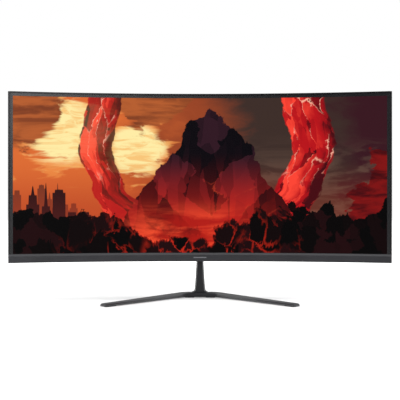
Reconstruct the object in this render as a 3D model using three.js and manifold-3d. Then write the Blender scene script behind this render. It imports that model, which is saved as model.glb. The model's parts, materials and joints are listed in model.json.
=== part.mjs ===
// A curved ultrawide computer monitor on a V-shaped stand with a tilting neck hinge.
// Millimetres. +X is the viewer's right, +Y points away from the viewer and +Z is up.
// The origin is on the desk, under the middle of the monitor's outline.
// Inside the group, y = 0 is the front of the glass at its middle, and "depth" is the
// distance behind the glass, measured square to its curve.
import * as THREE from "three";
import { mergeVertices } from "three/addons/utils/BufferGeometryUtils.js";
import Module from "manifold-3d";

const wasm = await Module();
wasm.setup();

// ---- Driving dimensions ----
const CURVE_RADIUS = 1500; // of the front of the glass
const CURVE_STEPS = 18;
const HALF_WIDTH = 405.6; // at the rear edge of the rim, the widest place
const HEAD_BOTTOM = 84;
const HEAD_TOP = 446;
const GAP = 0.3; // between pieces that touch

const RIM_FRONT = -1;
const RIM_REAR = 9;
const RIM_ANGLE = Math.asin(HALF_WIDTH / (CURVE_RADIUS + RIM_REAR));
const RIM_FACE = 2.8; // width of the rim seen from the front
const CHIN_FRONT = -3.5;
const CHIN_TOP = 102.3;
const CHIN_WALL = 2.6;
const CHIN_CHAMFER = 1; // along its lower front edge
const LIP_HEIGHT = 4.1; // the chin's slanting upper lip
const LIP_REAR = -0.4;
const ACTIVE_BOTTOM = 103;
const ACTIVE_HEIGHT = 333.5;
const ACTIVE_ARC = 797;

const GLASS_THICKNESS = 1.8;
const PAN_DEPTH = 7.8;
const PAN_THICKNESS = 1;
const COVER_DEPTH = 22; // outside of the rear cover where it is thin
const COVER_WALL = 2.4;

const HOUSING_REAR = 66; // flat back of the housing behind the middle of the screen
const HOUSING_BOTTOM = 125;
const RECESS_HALF_WIDTH = 42; // the recess that the stand enters
const RECESS_TOP = 218;
const RECESS_FLOOR = 36;
const VESA_PITCH = 100;
const VESA_Z = 240;

const HINGE_Y = 52;
const HINGE_Z = 175;
const HINGE_BOLT_R = 5;
const HINGE_BORE_R = 5.3;

const CONTROL_X = 330; // middle of the joystick, on the back
const CONTROL_Z = 112;
const POWER_BUTTON_X = 22; // beside the joystick

const NECK_SPLIT = 58; // between the neck's front and rear covers
const HUB_TOP = 11.4;
const BASE_BOTTOM = 1.6;
const HUB_FRONT = 46;
const HUB_REAR = 70.6;
const HUB_CORNER_X = 37.9;
const LEG_LENGTH = 241; // along its middle, from the hub's corner to the tip
const LEG_ANGLE = 48.66 * (Math.PI / 180); // forward of the hub's line
const LEG_DIRECTION = [Math.cos(LEG_ANGLE), -Math.sin(LEG_ANGLE)];
const TIP_HALF_WIDTH = 9.4;
const HUB_MIDDLE = (HUB_FRONT + HUB_REAR) / 2;
const SCREEN_Y = 28.6; // puts the origin midway between the leg tips and the hub's back

// ---- Geometry helpers ----

// A closed body through rings of equally many points. outline is the rings' shape in the
// plane, which says how the two end caps are filled.
function skin(rings, outline) {
  const count = outline.length;
  const corners = outline.map(([x, y]) => new THREE.Vector2(x, y));
  const clockwise = THREE.ShapeUtils.isClockWise(corners);
  const cap = THREE.ShapeUtils.triangulateShape(corners, []).map((face) => {
    const turned = THREE.ShapeUtils.isClockWise(face.map((i) => corners[i]));
    return turned === clockwise ? face : [face[0], face[2], face[1]];
  });
  const last = (rings.length - 1) * count;
  const index = [];
  for (const [a, b, c] of cap) {
    index.push(a, c, b);
    index.push(last + a, last + b, last + c);
  }
  for (let ring = 0; ring < rings.length - 1; ring++) {
    for (let i = 0; i < count; i++) {
      const next = (i + 1) % count;
      const [a, b] = [ring * count + i, ring * count + next];
      index.push(a, b, b + count, a, b + count, a + count);
    }
  }
  const geometry = new THREE.BufferGeometry();
  geometry.setAttribute("position", new THREE.Float32BufferAttribute(rings.flat(2), 3));
  geometry.setIndex(index);
  return faceOut(geometry);
}

// Turns the faces round if they point inwards.
function faceOut(geometry) {
  const at = geometry.attributes.position;
  const index = geometry.index.array;
  const [a, b, c] = [new THREE.Vector3(), new THREE.Vector3(), new THREE.Vector3()];
  let volume = 0;
  for (let i = 0; i < index.length; i += 3) {
    a.fromBufferAttribute(at, index[i]);
    b.fromBufferAttribute(at, index[i + 1]);
    c.fromBufferAttribute(at, index[i + 2]);
    volume += a.dot(b.cross(c));
  }
  if (volume < 0) {
    for (let i = 0; i < index.length; i += 3) {
      [index[i + 1], index[i + 2]] = [index[i + 2], index[i + 1]];
    }
  }
  return geometry;
}

// The point at an angle round the screen's curve, a depth behind the glass.
function onCurve(angle, depth, z) {
  const r = CURVE_RADIUS + depth;
  return [r * Math.sin(angle), r * Math.cos(angle) - CURVE_RADIUS, z];
}

// A [depth, z, inset] outline swept along the screen's curve. Each point stops its own
// inset short of the half angle.
function sweep(outline, halfAngle, steps = CURVE_STEPS) {
  const rings = [];
  for (let i = 0; i <= steps; i++) {
    const share = (2 * i) / steps - 1;
    rings.push(
      outline.map(([depth, z, inset = 0]) =>
        onCurve(share * (halfAngle - inset / CURVE_RADIUS), depth, z),
      ),
    );
  }
  return skin(rings, outline);
}

// A curved plate between two depths and two heights.
function plate(halfAngle, depth0, depth1, z0, z1) {
  const outline = [[depth0, z0], [depth1, z0], [depth1, z1], [depth0, z1]];
  return sweep(outline, halfAngle);
}

function block(x0, x1, y0, y1, z0, z1) {
  const box = new THREE.BoxGeometry(x1 - x0, y1 - y0, z1 - z0);
  return box.translate((x0 + x1) / 2, (y0 + y1) / 2, (z0 + z1) / 2);
}

// Cylinders along each axis, from one place to another.
function rodZ(radius, x, y, z0, z1, sides = 16) {
  const rod = new THREE.CylinderGeometry(radius, radius, z1 - z0, sides);
  return rod.rotateX(Math.PI / 2).translate(x, y, (z0 + z1) / 2);
}

function rodY(radius, x, z, y0, y1, sides = 16) {
  const rod = new THREE.CylinderGeometry(radius, radius, y1 - y0, sides);
  return rod.translate(x, (y0 + y1) / 2, z);
}

function rodX(radius, y, z, x0, x1, sides = 24) {
  const rod = new THREE.CylinderGeometry(radius, radius, x1 - x0, sides);
  return rod.rotateZ(Math.PI / 2).translate((x0 + x1) / 2, y, z);
}

// An outline in the (x, y) plane, extruded upwards.
function extrudeUp(outline, z0, z1) {
  const shape = new THREE.Shape(outline.map(([x, y]) => new THREE.Vector2(x, y)));
  const made = new THREE.ExtrudeGeometry(shape, { depth: z1 - z0, bevelEnabled: false });
  return made.translate(0, 0, z0);
}

// An outline in the (y, z) plane, extruded across.
function extrudeAcross(outline, x0, x1) {
  const made = extrudeUp(outline, x0, x1);
  const axes = new THREE.Matrix4().makeBasis(
    new THREE.Vector3(0, 1, 0),
    new THREE.Vector3(0, 0, 1),
    new THREE.Vector3(1, 0, 0),
  );
  return made.applyMatrix4(axes);
}

function toSolid(geometry) {
  const bare = new THREE.BufferGeometry();
  bare.setAttribute("position", geometry.attributes.position.clone());
  if (geometry.index) bare.setIndex(geometry.index.clone());
  const merged = mergeVertices(bare, 1e-4);
  return new wasm.Manifold(
    new wasm.Mesh({
      numProp: 3,
      vertProperties: new Float32Array(merged.attributes.position.array),
      triVerts: new Uint32Array(merged.index.array),
    }),
  );
}

function fromSolid(solid) {
  const mesh = solid.getMesh();
  const geometry = new THREE.BufferGeometry();
  geometry.setAttribute(
    "position",
    new THREE.Float32BufferAttribute(mesh.vertProperties, mesh.numProp),
  );
  geometry.setIndex(new THREE.BufferAttribute(mesh.triVerts, 1));
  return geometry;
}

function cut(body, ...tools) {
  return fromSolid(tools.reduce((left, tool) => left.subtract(toSolid(tool)), toSolid(body)));
}

function join(...bodies) {
  return fromSolid(bodies.map(toSolid).reduce((sum, body) => sum.add(body)));
}

// ---- Materials ----
function material(color, roughness, metalness = 0) {
  return new THREE.MeshStandardMaterial({ color, roughness, metalness });
}

const charcoal = material(0x38383b, 0.5);
const rimPlastic = material(0x2a2a2d, 0.42);
const coverPlastic = material(0x1d1d1f, 0.6);
const glass = material(0x0b0b0d, 0.3);
const filmWhite = material(0xe9edf0, 0.5);
const clearAcrylic = material(0xdfe6ea, 0.15);
const framePlastic = material(0x202022, 0.6);
const steel = material(0x9a9c9f, 0.4, 1);
const zinc = material(0xb9b9b4, 0.35, 1);
const circuitGreen = material(0x1d5a38, 0.5);
const socketMetal = material(0xa8aaad, 0.3, 1);
const blackPlastic = material(0x121213, 0.55);
const rubber = material(0x0d0d0e, 0.9);
const silverInk = material(0x8e8f94, 0.4);
const basePaint = material(0x333336, 0.45, 0.4);

const monitor = new THREE.Group();
monitor.position.y = SCREEN_Y;

function add(name, geometry, finish, parent = monitor) {
  const mesh = new THREE.Mesh(geometry, finish);
  mesh.name = name;
  parent.add(mesh);
  return mesh;
}

// Swings a geometry or a group round the screen's curve, from its middle to a place x across,
// so that its own y axis stays square to the glass.
function swing(thing, x) {
  const angle = Math.asin(x / CURVE_RADIUS);
  const [, y] = onCurve(angle, 0, 0);
  if (thing.isBufferGeometry) return thing.rotateZ(-angle).translate(x, y, 0);
  thing.rotation.z = -angle;
  thing.position.set(x, y, 0);
  monitor.add(thing);
  return thing;
}

// ---- Front: rim, chin and badge ----
const RIM_INNER_ANGLE = RIM_ANGLE - RIM_FACE / CURVE_RADIUS;
const GLASS_ANGLE = RIM_INNER_ANGLE - GAP / CURVE_RADIUS;
const GLASS_TOP = HEAD_TOP - RIM_FACE - 2 * GAP;
const GLASS_BOTTOM = 88;
const LOWER_BAR_FRONT = 4.5;
const LOWER_BAR_TOP = 96;

// The rim runs up both sides and over the top, and a lower bar joins it behind the chin.
function frontBezel() {
  const whole = plate(RIM_ANGLE, RIM_FRONT, RIM_REAR, HEAD_BOTTOM + CHIN_WALL + 0.4, HEAD_TOP);
  const window = plate(
    RIM_INNER_ANGLE, RIM_FRONT - 1, RIM_REAR + 1, LOWER_BAR_TOP, HEAD_TOP - RIM_FACE - GAP,
  );
  const chinSpace = plate(
    RIM_ANGLE + 0.01, RIM_FRONT - 1, LOWER_BAR_FRONT, HEAD_BOTTOM, CHIN_TOP + GAP,
  );
  return cut(whole, window, chinSpace);
}

// A strip with a bright slanting lip above a flat face, and a wall underneath.
function chinTrim() {
  const wallTop = HEAD_BOTTOM + CHIN_WALL;
  const section = [
    [RIM_REAR, HEAD_BOTTOM],
    [CHIN_FRONT + CHIN_CHAMFER, HEAD_BOTTOM],
    [CHIN_FRONT, HEAD_BOTTOM + CHIN_CHAMFER],
    [CHIN_FRONT, CHIN_TOP - LIP_HEIGHT],
    [LIP_REAR - 0.5, CHIN_TOP],
    [LIP_REAR, CHIN_TOP],
    [LIP_REAR, wallTop],
    [RIM_REAR, wallTop],
  ];
  const ends = cut(
    plate(RIM_ANGLE, -0.5, LOWER_BAR_FRONT - GAP, HEAD_BOTTOM + 1, CHIN_TOP),
    plate(RIM_INNER_ANGLE, -2, RIM_REAR, HEAD_BOTTOM, CHIN_TOP + 1),
  );
  const lensSlot = block(-3.4, 3.4, 3.2, 6.4, HEAD_BOTTOM - 1, wallTop + 1);
  return cut(join(sweep(section, RIM_ANGLE), ends), swing(lensSlot, CONTROL_X));
}

const BADGE_HALF_WIDTH = 14;
add("front_bezel", frontBezel(), rimPlastic);
add("chin_trim", chinTrim(), charcoal);
add(
  "chin_badge",
  plate(BADGE_HALF_WIDTH / CURVE_RADIUS, CHIN_FRONT - 0.8, CHIN_FRONT - GAP, 91.4, 93.6),
  silverInk,
);

// ---- Screen: glass, frame, films, light guide and metal pan ----
const FRAME_WALL = 5;
const FRAME_REAR = PAN_DEPTH - GAP;
const FRAME_INNER_ANGLE = GLASS_ANGLE - FRAME_WALL / CURVE_RADIUS;
const FILM_ANGLE = FRAME_INNER_ANGLE - GAP / CURVE_RADIUS;
const FILM_BOTTOM = ACTIVE_BOTTOM - 1.4;
const FILM_TOP = ACTIVE_BOTTOM + ACTIVE_HEIGHT + 1.4;
const GUIDE_FRONT = 3.8;
const GUIDE_REAR = 6.6;
const LED_BAR_TOP = FILM_BOTTOM + 3;

function panelFrame() {
  const whole = plate(
    GLASS_ANGLE, GLASS_THICKNESS + GAP, FRAME_REAR, LOWER_BAR_TOP + GAP, GLASS_TOP,
  );
  const window = plate(FRAME_INNER_ANGLE, 0, PAN_DEPTH, FILM_BOTTOM - GAP, FILM_TOP + GAP);
  return cut(whole, window);
}

// A pressed steel tray with two stiffening beads.
function backlightPan() {
  const rear = PAN_DEPTH + PAN_THICKNESS;
  const beads = [345, 405].flatMap((z) => [
    [rear, z],
    [rear + 2, z + 3, 6],
    [rear + 2, z + 9, 6],
    [rear, z + 12],
  ]);
  const section = [[PAN_DEPTH, 97], [rear, 97], ...beads, [rear, 442.5], [PAN_DEPTH, 442.5]];
  return sweep(section, GLASS_ANGLE - GAP / CURVE_RADIUS);
}

function film(front, rear) {
  return plate(FILM_ANGLE, front, rear, FILM_BOTTOM, FILM_TOP);
}

add(
  "lcd_panel",
  plate(GLASS_ANGLE, 0, GLASS_THICKNESS, GLASS_BOTTOM, GLASS_TOP),
  glass,
);
add("panel_frame", panelFrame(), framePlastic);
add("prism_film", film(2.1, 2.6), filmWhite);
add("diffuser_film", film(2.9, 3.5), filmWhite);
add(
  "light_guide",
  plate(FILM_ANGLE, GUIDE_FRONT, GUIDE_REAR, LED_BAR_TOP + GAP, FILM_TOP),
  clearAcrylic,
);
add(
  "led_bar",
  plate(ACTIVE_ARC / 2 / CURVE_RADIUS, GUIDE_FRONT, GUIDE_REAR, FILM_BOTTOM, LED_BAR_TOP),
  circuitGreen,
);
add("reflector_sheet", film(6.9, 7.5), filmWhite);
add("backlight_pan", backlightPan(), steel);

// ---- Sockets: size and place of each along the bottom of the housing ----
const BOARD_FRONT = 27;
const BOARD_REAR = BOARD_FRONT + 1.6;
const SOCKET_FRONT = BOARD_REAR + GAP;
const SOCKETS = [
  { name: "hdmi_socket_1", x: 72, width: 15, height: 6.4, length: 12 },
  { name: "hdmi_socket_2", x: 93, width: 15, height: 6.4, length: 12 },
  { name: "displayport_socket", x: 115, width: 18, height: 7, length: 13 },
];
const AUDIO_X = 136;
const AUDIO_SIZE = 7;
const INLET = { x: -110, width: 29, height: 22, length: 24 };
const SOCKET_BOTTOM = HOUSING_BOTTOM + 0.2;

// ---- Rear cover ----
const EDGE = [[9.3, 0.8], [15, 2], [COVER_DEPTH, 12]]; // depth and inset from the outline
const INNER_EDGE = [[8, 3.2], [13.5, 4.4], [COVER_DEPTH - COVER_WALL, 14.4]];

// The whole cover's bulk, curved with the screen, from its edge line.
function coverBulk(edge) {
  const bottom = edge.map(([depth, inset]) => [depth, HEAD_BOTTOM + inset, inset]);
  const top = edge.map(([depth, inset]) => [depth, HEAD_TOP - inset, inset]).reverse();
  return sweep([...bottom, ...top], RIM_ANGLE);
}

// The housing behind the middle: a block that narrows to its flat back.
function housingBulk(wall) {
  const ring = (y, halfWidth, top, cornerCut) => {
    const [w, z0, z1] = [halfWidth - wall, HOUSING_BOTTOM + wall, top - wall];
    const corners = [
      [w - cornerCut, z0], [w, z0 + cornerCut], [w, z1 - cornerCut], [w - cornerCut, z1],
      [cornerCut - w, z1], [-w, z1 - cornerCut], [-w, z0 + cornerCut], [cornerCut - w, z0],
    ];
    return corners.map(([x, z]) => [x, y, z]);
  };
  const rings = [ring(4, 216, 340, 14), ring(30, 211, 332, 14), ring(HOUSING_REAR - wall, 196, 314, 14)];
  return skin(rings, rings[0].map(([x, , z]) => [x, z]));
}

function socketHoles() {
  const hole = (x, width, front, rear) =>
    block(x - width / 2 - 0.5, x + width / 2 + 0.5, front, rear, HOUSING_BOTTOM - 2, HOUSING_BOTTOM + 5);
  return [
    ...SOCKETS.map((s) => hole(s.x, s.width, SOCKET_FRONT - 0.5, SOCKET_FRONT + s.height + 0.5)),
    hole(AUDIO_X, AUDIO_SIZE, SOCKET_FRONT - 0.5, SOCKET_FRONT + AUDIO_SIZE + 0.5),
    hole(INLET.x, INLET.width, SOCKET_FRONT - 0.5, SOCKET_FRONT + INLET.height + 0.5),
  ];
}

// Cooling slots through the top of the housing.
const VENT_COUNT = 18;
const VENT_PITCH = 16;
function vents() {
  return Array.from({ length: VENT_COUNT }, (_, i) => {
    const x = (i - (VENT_COUNT - 1) / 2) * VENT_PITCH;
    return block(x - 3, x + 3, 33, 57, 300, 345);
  });
}

const VESA_HOLES = [-1, 1].flatMap((sx) =>
  [-1, 1].map((sz) => [(sx * VESA_PITCH) / 2, VESA_Z + (sz * VESA_PITCH) / 2]),
);
const COVER_SCREWS = [[-172, 150], [172, 150], [-172, 285], [172, 285]];
const HINGE_SCREWS = [[-26, 148], [26, 148], [-26, 202], [26, 202]];

function controlHoles() {
  return [
    swing(rodY(5.6, 0, CONTROL_Z, 12, 30, 24), CONTROL_X),
    swing(rodY(4.5, POWER_BUTTON_X, CONTROL_Z, 12, 30, 24), CONTROL_X),
  ];
}

function rearCover() {
  const recess = (grow) =>
    block(
      -RECESS_HALF_WIDTH - grow, RECESS_HALF_WIDTH + grow, RECESS_FLOOR - grow, HOUSING_REAR + 5,
      HOUSING_BOTTOM - 5, RECESS_TOP + grow,
    );
  const inFront = plate(RIM_ANGLE, -20, EDGE[0][0], 0, HEAD_TOP);
  const outside = cut(join(coverBulk(EDGE), housingBulk(0)), recess(0), inFront);
  const inside = cut(join(coverBulk(INNER_EDGE), housingBulk(COVER_WALL)), recess(COVER_WALL));
  const bosses = VESA_HOLES.map(([x, z]) => rodY(5, x, z, 48, HOUSING_REAR - 1, 12));
  const shell = join(cut(outside, inside), ...bosses);
  return cut(
    shell,
    ...VESA_HOLES.map(([x, z]) => rodY(2.1, x, z, 50, HOUSING_REAR + 1, 12)),
    ...COVER_SCREWS.map(([x, z]) => rodY(2.2, x, z, 60, HOUSING_REAR + 1, 12)),
    ...COVER_SCREWS.map(([x, z]) => rodY(4.6, x, z, HOUSING_REAR - 1.5, HOUSING_REAR + 1, 16)),
    ...HINGE_SCREWS.map(([x, z]) => rodY(2.3, x, z, 30, 40, 12)),
    ...socketHoles(),
    ...vents(),
    ...controlHoles(),
  );
}
add("rear_cover", rearCover(), coverPlastic);

COVER_SCREWS.forEach(([x, z], i) => {
  const head = rodY(4, x, z, HOUSING_REAR - 1.2, HOUSING_REAR - 0.1, 16);
  const driveSlot = block(x - 3, x + 3, HOUSING_REAR - 0.7, HOUSING_REAR + 2, z - 0.6, z + 0.6);
  const shank = rodY(1.6, x, z, 44, HOUSING_REAR - 0.5, 10);
  add(`cover_screw_${i + 1}`, cut(join(head, shank), driveSlot), zinc);
});

// ---- Bracket and boards inside the housing ----
const BRACKET_FRONT = 24;
const BRACKET_REAR = 25.2;
const BRACKET_HALF_WIDTH = 185;

// A pressed steel bridge over the back of the pan, which carries the boards and the hinge.
function chassisBracket() {
  const [w, t] = [BRACKET_HALF_WIDTH, BRACKET_REAR - BRACKET_FRONT];
  const right = [
    [w + t, BRACKET_REAR], [w + t, -1.1], [w + 14, -2.75], [w + 14, -3.95], [w, -2.2],
    [w, BRACKET_FRONT],
  ];
  const left = right.map(([x, y]) => [-x, y]).reverse();
  const bridge = extrudeUp([...right, ...left], 140, 300);
  const powerStuds = [[-150, 160], [-66, 160], [-150, 232], [-66, 232]];
  const mainStuds = [[66, 160], [150, 160], [66, 220], [150, 220]];
  const posts = COVER_SCREWS.map(([x, z]) =>
    cut(rodY(4, x, z, BRACKET_REAR - 0.5, 60, 12), rodY(1.9, x, z, 40, 61, 12)),
  );
  const pads = [...powerStuds, ...mainStuds].map(([x, z]) =>
    rodY(3, x, z, BRACKET_REAR - 0.5, BOARD_FRONT - GAP, 8),
  );
  const screwHoles = HINGE_SCREWS.map(([x, z]) => rodY(2.3, x, z, 20, 30, 12));
  return cut(join(bridge, ...posts, ...pads), ...screwHoles);
}
add("chassis_bracket", chassisBracket(), steel);

// A circuit board with its tallest parts, which stand on its back.
function board(x0, x1, z0, z1, parts) {
  const bare = block(x0, x1, BOARD_FRONT, BOARD_REAR, z0, z1);
  const raised = parts.map(([x, z, width, height, tall]) =>
    block(
      x - width / 2, x + width / 2, BOARD_REAR - 0.4, BOARD_REAR + tall, z - height / 2, z + height / 2,
    ),
  );
  return join(bare, ...raised);
}

// x, z, width, height and how tall, for each part.
const MAIN_BOARD_PARTS = [
  [92, 188, 28, 28, 9],
  [128, 196, 14, 14, 2],
  [128, 172, 10, 16, 4],
  [70, 214, 14, 6, 4],
];
const POWER_BOARD_PARTS = [
  [-128, 204, 34, 30, 22],
  [-88, 214, 22, 18, 16],
  [-82, 176, 14, 30, 20],
  [-140, 168, 12, 12, 14],
];
add("main_board", board(56, 160, 134, 228, MAIN_BOARD_PARTS), circuitGreen);
add("power_board", board(-160, -56, 148, 240, POWER_BOARD_PARTS), circuitGreen);

// A perforated can over the main board.
function boardShield() {
  const holes = Array.from({ length: 5 }, (_, i) => rodY(4, 76 + i * 16, 208, 40, 60, 8));
  return cut(
    block(54, 163, BOARD_REAR + GAP, 48, 142, 232),
    block(54.8, 162.2, 20, 47.2, 142.8, 231.2),
    ...holes,
  );
}
add("board_shield", boardShield(), steel);

// A flat socket: a metal shell, open downwards, with a contact blade in it.
function flatSocket({ width, height, length }) {
  const wall = 0.6;
  const blade = block(-width / 2 + 3, width / 2 - 3, height / 2 - 0.5, height / 2 + 0.5, 2, length);
  const shell = cut(
    block(-width / 2, width / 2, 0, height, 0, length),
    block(-width / 2 + wall, width / 2 - wall, wall, height - wall, -1, length - 1.5),
  );
  return join(shell, blade);
}

for (const socket of SOCKETS) {
  add(socket.name, flatSocket(socket), socketMetal).position.set(
    socket.x, SOCKET_FRONT, SOCKET_BOTTOM,
  );
}

function audioJack() {
  const half = AUDIO_SIZE / 2;
  const body = block(-half, half, 0, AUDIO_SIZE, 0, 12);
  return cut(body, rodZ(1.8, 0, half, -1, 10, 16));
}
add("audio_jack", audioJack(), blackPlastic).position.set(AUDIO_X, SOCKET_FRONT, SOCKET_BOTTOM);

// A mains inlet with a keyed mouth and three pins.
const INLET_WALL = 2;
const PIN_RECESS = 6;
function powerInlet() {
  const [w, h] = [INLET.width / 2, INLET.height];
  const shell = cut(
    block(-w, w, 0, h, 0, INLET.length),
    block(-w + INLET_WALL, w - INLET_WALL, INLET_WALL, h - INLET_WALL, -1, INLET.length - 3),
  );
  const pins = [[-7, 9], [7, 9], [0, 13.5]].map(([x, y]) =>
    block(x - 1, x + 1, y - 2, y + 2, PIN_RECESS, INLET.length - 2),
  );
  return join(shell, ...pins);
}
add("power_inlet", powerInlet(), blackPlastic).position.set(INLET.x, SOCKET_FRONT, SOCKET_BOTTOM);

// ---- Timing controller, cables and speakers ----
add("tcon_board", block(-90, 90, 11, 12.2, 100, 124), circuitGreen);
function tconShield() {
  return cut(block(-70, 70, 12.5, 15.2, 102, 122), block(-69.4, 69.4, 12, 14.6, 102.6, 121.4));
}
add("tcon_shield", tconShield(), steel);

// A flat cable: a ribbon through points in the (y, z) plane.
function ribbon(points, thickness, x0, x1) {
  const back = points.map(([y, z]) => [y + thickness, z]).reverse();
  return extrudeAcross([...points, ...back], x0, x1);
}
const DISPLAY_PATH = [
  [12.5, 106], [12.5, 112], [15.8, 118], [15.8, 128], [18, 131], [25.7, 136], [25.7, 146],
];
const BACKLIGHT_PATH = [
  [4.4, 103], [6, 112], [10, 120], [11.8, 128.5], [14, 132], [25.6, 137], [25.6, 152],
];
add("display_cable", ribbon(DISPLAY_PATH, 0.8, 72, 84), filmWhite);
add("backlight_cable", ribbon(BACKLIGHT_PATH, 1, -132, -126), blackPlastic);

// A sealed speaker box with a round driver.
function speaker() {
  const box = block(-45, 45, 9.8, 16.6, 99, 121);
  const cone = rodY(8, 0, 110, 16, 18, 20);
  return join(box, cone);
}
for (const [side, x] of [["left", -262], ["right", 262]]) {
  add(`speaker_${side}`, speaker(), blackPlastic, swing(new THREE.Group(), x));
}

// ---- Controls on the back: joystick, power button and status light ----
const controls = swing(new THREE.Group(), CONTROL_X);
const PIVOT_DEPTH = 14;
const CONTROL_BOARD_REAR = 11;
const TILT_RING = { inner: 2.8, outer: 4.2 };

// A ring about the joystick's own axis, from [radius, depth] points.
function turned(profile, sides = 20) {
  const points = profile.map(([r, depth]) => new THREE.Vector2(r, depth));
  return new THREE.LatheGeometry(points, sides);
}

function atStick(geometry) {
  return geometry.translate(0, 0, CONTROL_Z);
}

add(
  "control_board",
  block(-22, 36, CONTROL_BOARD_REAR - 1.2, CONTROL_BOARD_REAR, 101, 123),
  circuitGreen,
  controls,
);

function joystickHousing() {
  const body = block(-6.5, 6.5, CONTROL_BOARD_REAR + GAP, 16.4, CONTROL_Z - 6.5, CONTROL_Z + 6.5);
  return cut(body, rodY(5.2, 0, CONTROL_Z, 11.9, 20, 24));
}
add("joystick_housing", joystickHousing(), blackPlastic, controls);

function gimbalRing() {
  const [a, b] = [TILT_RING.inner, TILT_RING.outer];
  const [front, rear] = [PIVOT_DEPTH - 0.6, PIVOT_DEPTH + 0.6];
  return atStick(turned([[a, front], [b, front], [b, rear], [a, rear], [a, front]]));
}
add("joystick_gimbal", gimbalRing(), zinc, controls);

const STEM_END = 21.4;
function joystickStem() {
  const ball = [-60, -30, 0, 30, 60].map((degrees) => {
    const turn = (degrees * Math.PI) / 180;
    return [2 * Math.cos(turn), PIVOT_DEPTH + 2 * Math.sin(turn)];
  });
  const rod = [[1.2, PIVOT_DEPTH + 2.2], [1.2, STEM_END], [0, STEM_END]];
  const profile = [[0, PIVOT_DEPTH - 1.73], ...ball, ...rod];
  return atStick(turned(profile, 16));
}
add("joystick_stem", joystickStem(), zinc, controls);

// A dished cap outside the cover, on a boss that slips over the stem.
const CAP_FRONT = 24;
const CAP_REAR = 27.6;
function joystickCap() {
  const profile = [
    [0, 22.4], [1.6, 22.4], [1.6, 18], [3, 18], [3, CAP_FRONT], [6.6, CAP_FRONT],
    [7, CAP_FRONT + 0.8], [7, CAP_REAR - 0.8], [6.2, CAP_REAR], [3, CAP_REAR - 0.8], [0, CAP_REAR - 1],
  ];
  return atStick(turned(profile, 24));
}
add("joystick_cap", joystickCap(), blackPlastic, controls);

// The button's cap, with the flange that keeps it in and the plunger that meets the switch.
function powerButton() {
  const profile = [
    [0, 15.3], [1.5, 15.3], [1.5, 17.4], [5.4, 17.4], [5.4, 18.6], [4, 18.6], [4, 22.9],
    [3.5, 23.4], [0, 23.4],
  ];
  return atStick(turned(profile, 24));
}
add("power_button", powerButton(), blackPlastic, controls).position.x = POWER_BUTTON_X;

function powerSwitch() {
  const x = POWER_BUTTON_X;
  const body = block(x - 3, x + 3, CONTROL_BOARD_REAR + GAP, 14, CONTROL_Z - 3, CONTROL_Z + 3);
  return join(body, rodY(1.6, x, CONTROL_Z, 13.5, 14.5, 12));
}
add("power_switch", powerSwitch(), blackPlastic, controls);
add(
  "status_light_lens",
  block(-3, 3, 3.6, 6, HEAD_BOTTOM + 0.1, HEAD_BOTTOM + CHIN_WALL + 0.2),
  clearAcrylic,
  controls,
);

// ---- Tilt hinge ----
const PLATE_REAR = RECESS_FLOOR + GAP + 2.5;
const KNUCKLE_HALF_WIDTH = 9;
const WASHER = 1.7;
const EAR_INNER = KNUCKLE_HALF_WIDTH + GAP + WASHER + GAP;
const EAR_OUTER = EAR_INNER + 3;
const KNUCKLE_R = 12;

// A steel bracket: a plate with four screw holes and two ears that hold the hinge bolt.
function hingeBracket() {
  const arc = Array.from({ length: 9 }, (_, i) => {
    const turn = Math.PI / 2 - (i * Math.PI) / 8;
    return [HINGE_Y + KNUCKLE_R * Math.cos(turn), HINGE_Z + KNUCKLE_R * Math.sin(turn)];
  });
  const side = [[PLATE_REAR - 1, HINGE_Z + 22], ...arc, [PLATE_REAR - 1, HINGE_Z - 22]];
  const ears = [extrudeAcross(side, EAR_INNER, EAR_OUTER), extrudeAcross(side, -EAR_OUTER, -EAR_INNER)];
  return cut(
    join(block(-33, 33, RECESS_FLOOR + GAP, PLATE_REAR, 140, 211), ...ears),
    rodX(HINGE_BORE_R, HINGE_Y, HINGE_Z, -30, 30),
    ...HINGE_SCREWS.map(([x, z]) => rodY(2.3, x, z, 30, 50, 12)),
  );
}
add("hinge_bracket", hingeBracket(), steel);

HINGE_SCREWS.forEach(([x, z], i) => {
  const head = rodY(4, x, z, PLATE_REAR + GAP, PLATE_REAR + 2.8, 16);
  const socket = rodY(1.8, x, z, PLATE_REAR + 1.4, PLATE_REAR + 4, 6);
  const shank = rodY(2, x, z, 22, PLATE_REAR + 1, 12);
  add(`hinge_screw_${i + 1}`, cut(join(head, shank), socket), zinc);
});

function washer(x0, x1, radius) {
  return cut(
    rodX(radius, HINGE_Y, HINGE_Z, x0, x1),
    rodX(HINGE_BORE_R, HINGE_Y, HINGE_Z, x0 - 1, x1 + 1),
  );
}
const WASHER_INNER = KNUCKLE_HALF_WIDTH + GAP;
add("friction_washer_left", washer(-WASHER_INNER - WASHER, -WASHER_INNER, 10), zinc);
add("friction_washer_right", washer(WASHER_INNER, WASHER_INNER + WASHER, 10), zinc);
add("spring_washer", washer(EAR_OUTER + GAP, EAR_OUTER + GAP + 1.5, 9), zinc);

const NUT_INNER = EAR_OUTER + GAP + 1.5 + GAP;
const NUT_THICKNESS = 5;
const NUT_R = 8.4;
function hingeNut() {
  return cut(
    rodX(NUT_R, HINGE_Y, HINGE_Z, NUT_INNER, NUT_INNER + NUT_THICKNESS, 6),
    rodX(HINGE_BORE_R, HINGE_Y, HINGE_Z, NUT_INNER - 1, NUT_INNER + NUT_THICKNESS + 1),
  );
}
add("hinge_nut", hingeNut(), zinc);

function hingeBolt() {
  const head = rodX(NUT_R, HINGE_Y, HINGE_Z, -EAR_OUTER - GAP - 4.5, -EAR_OUTER - GAP, 6);
  const shaft = rodX(HINGE_BOLT_R, HINGE_Y, HINGE_Z, -EAR_OUTER - 1, NUT_INNER + NUT_THICKNESS + 1.6);
  return join(head, shaft);
}
add("hinge_bolt", hingeBolt(), zinc);

// ---- Neck ----
const NECK_TOP = 158;
const NECK_BOTTOM = HUB_TOP + GAP;

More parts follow.
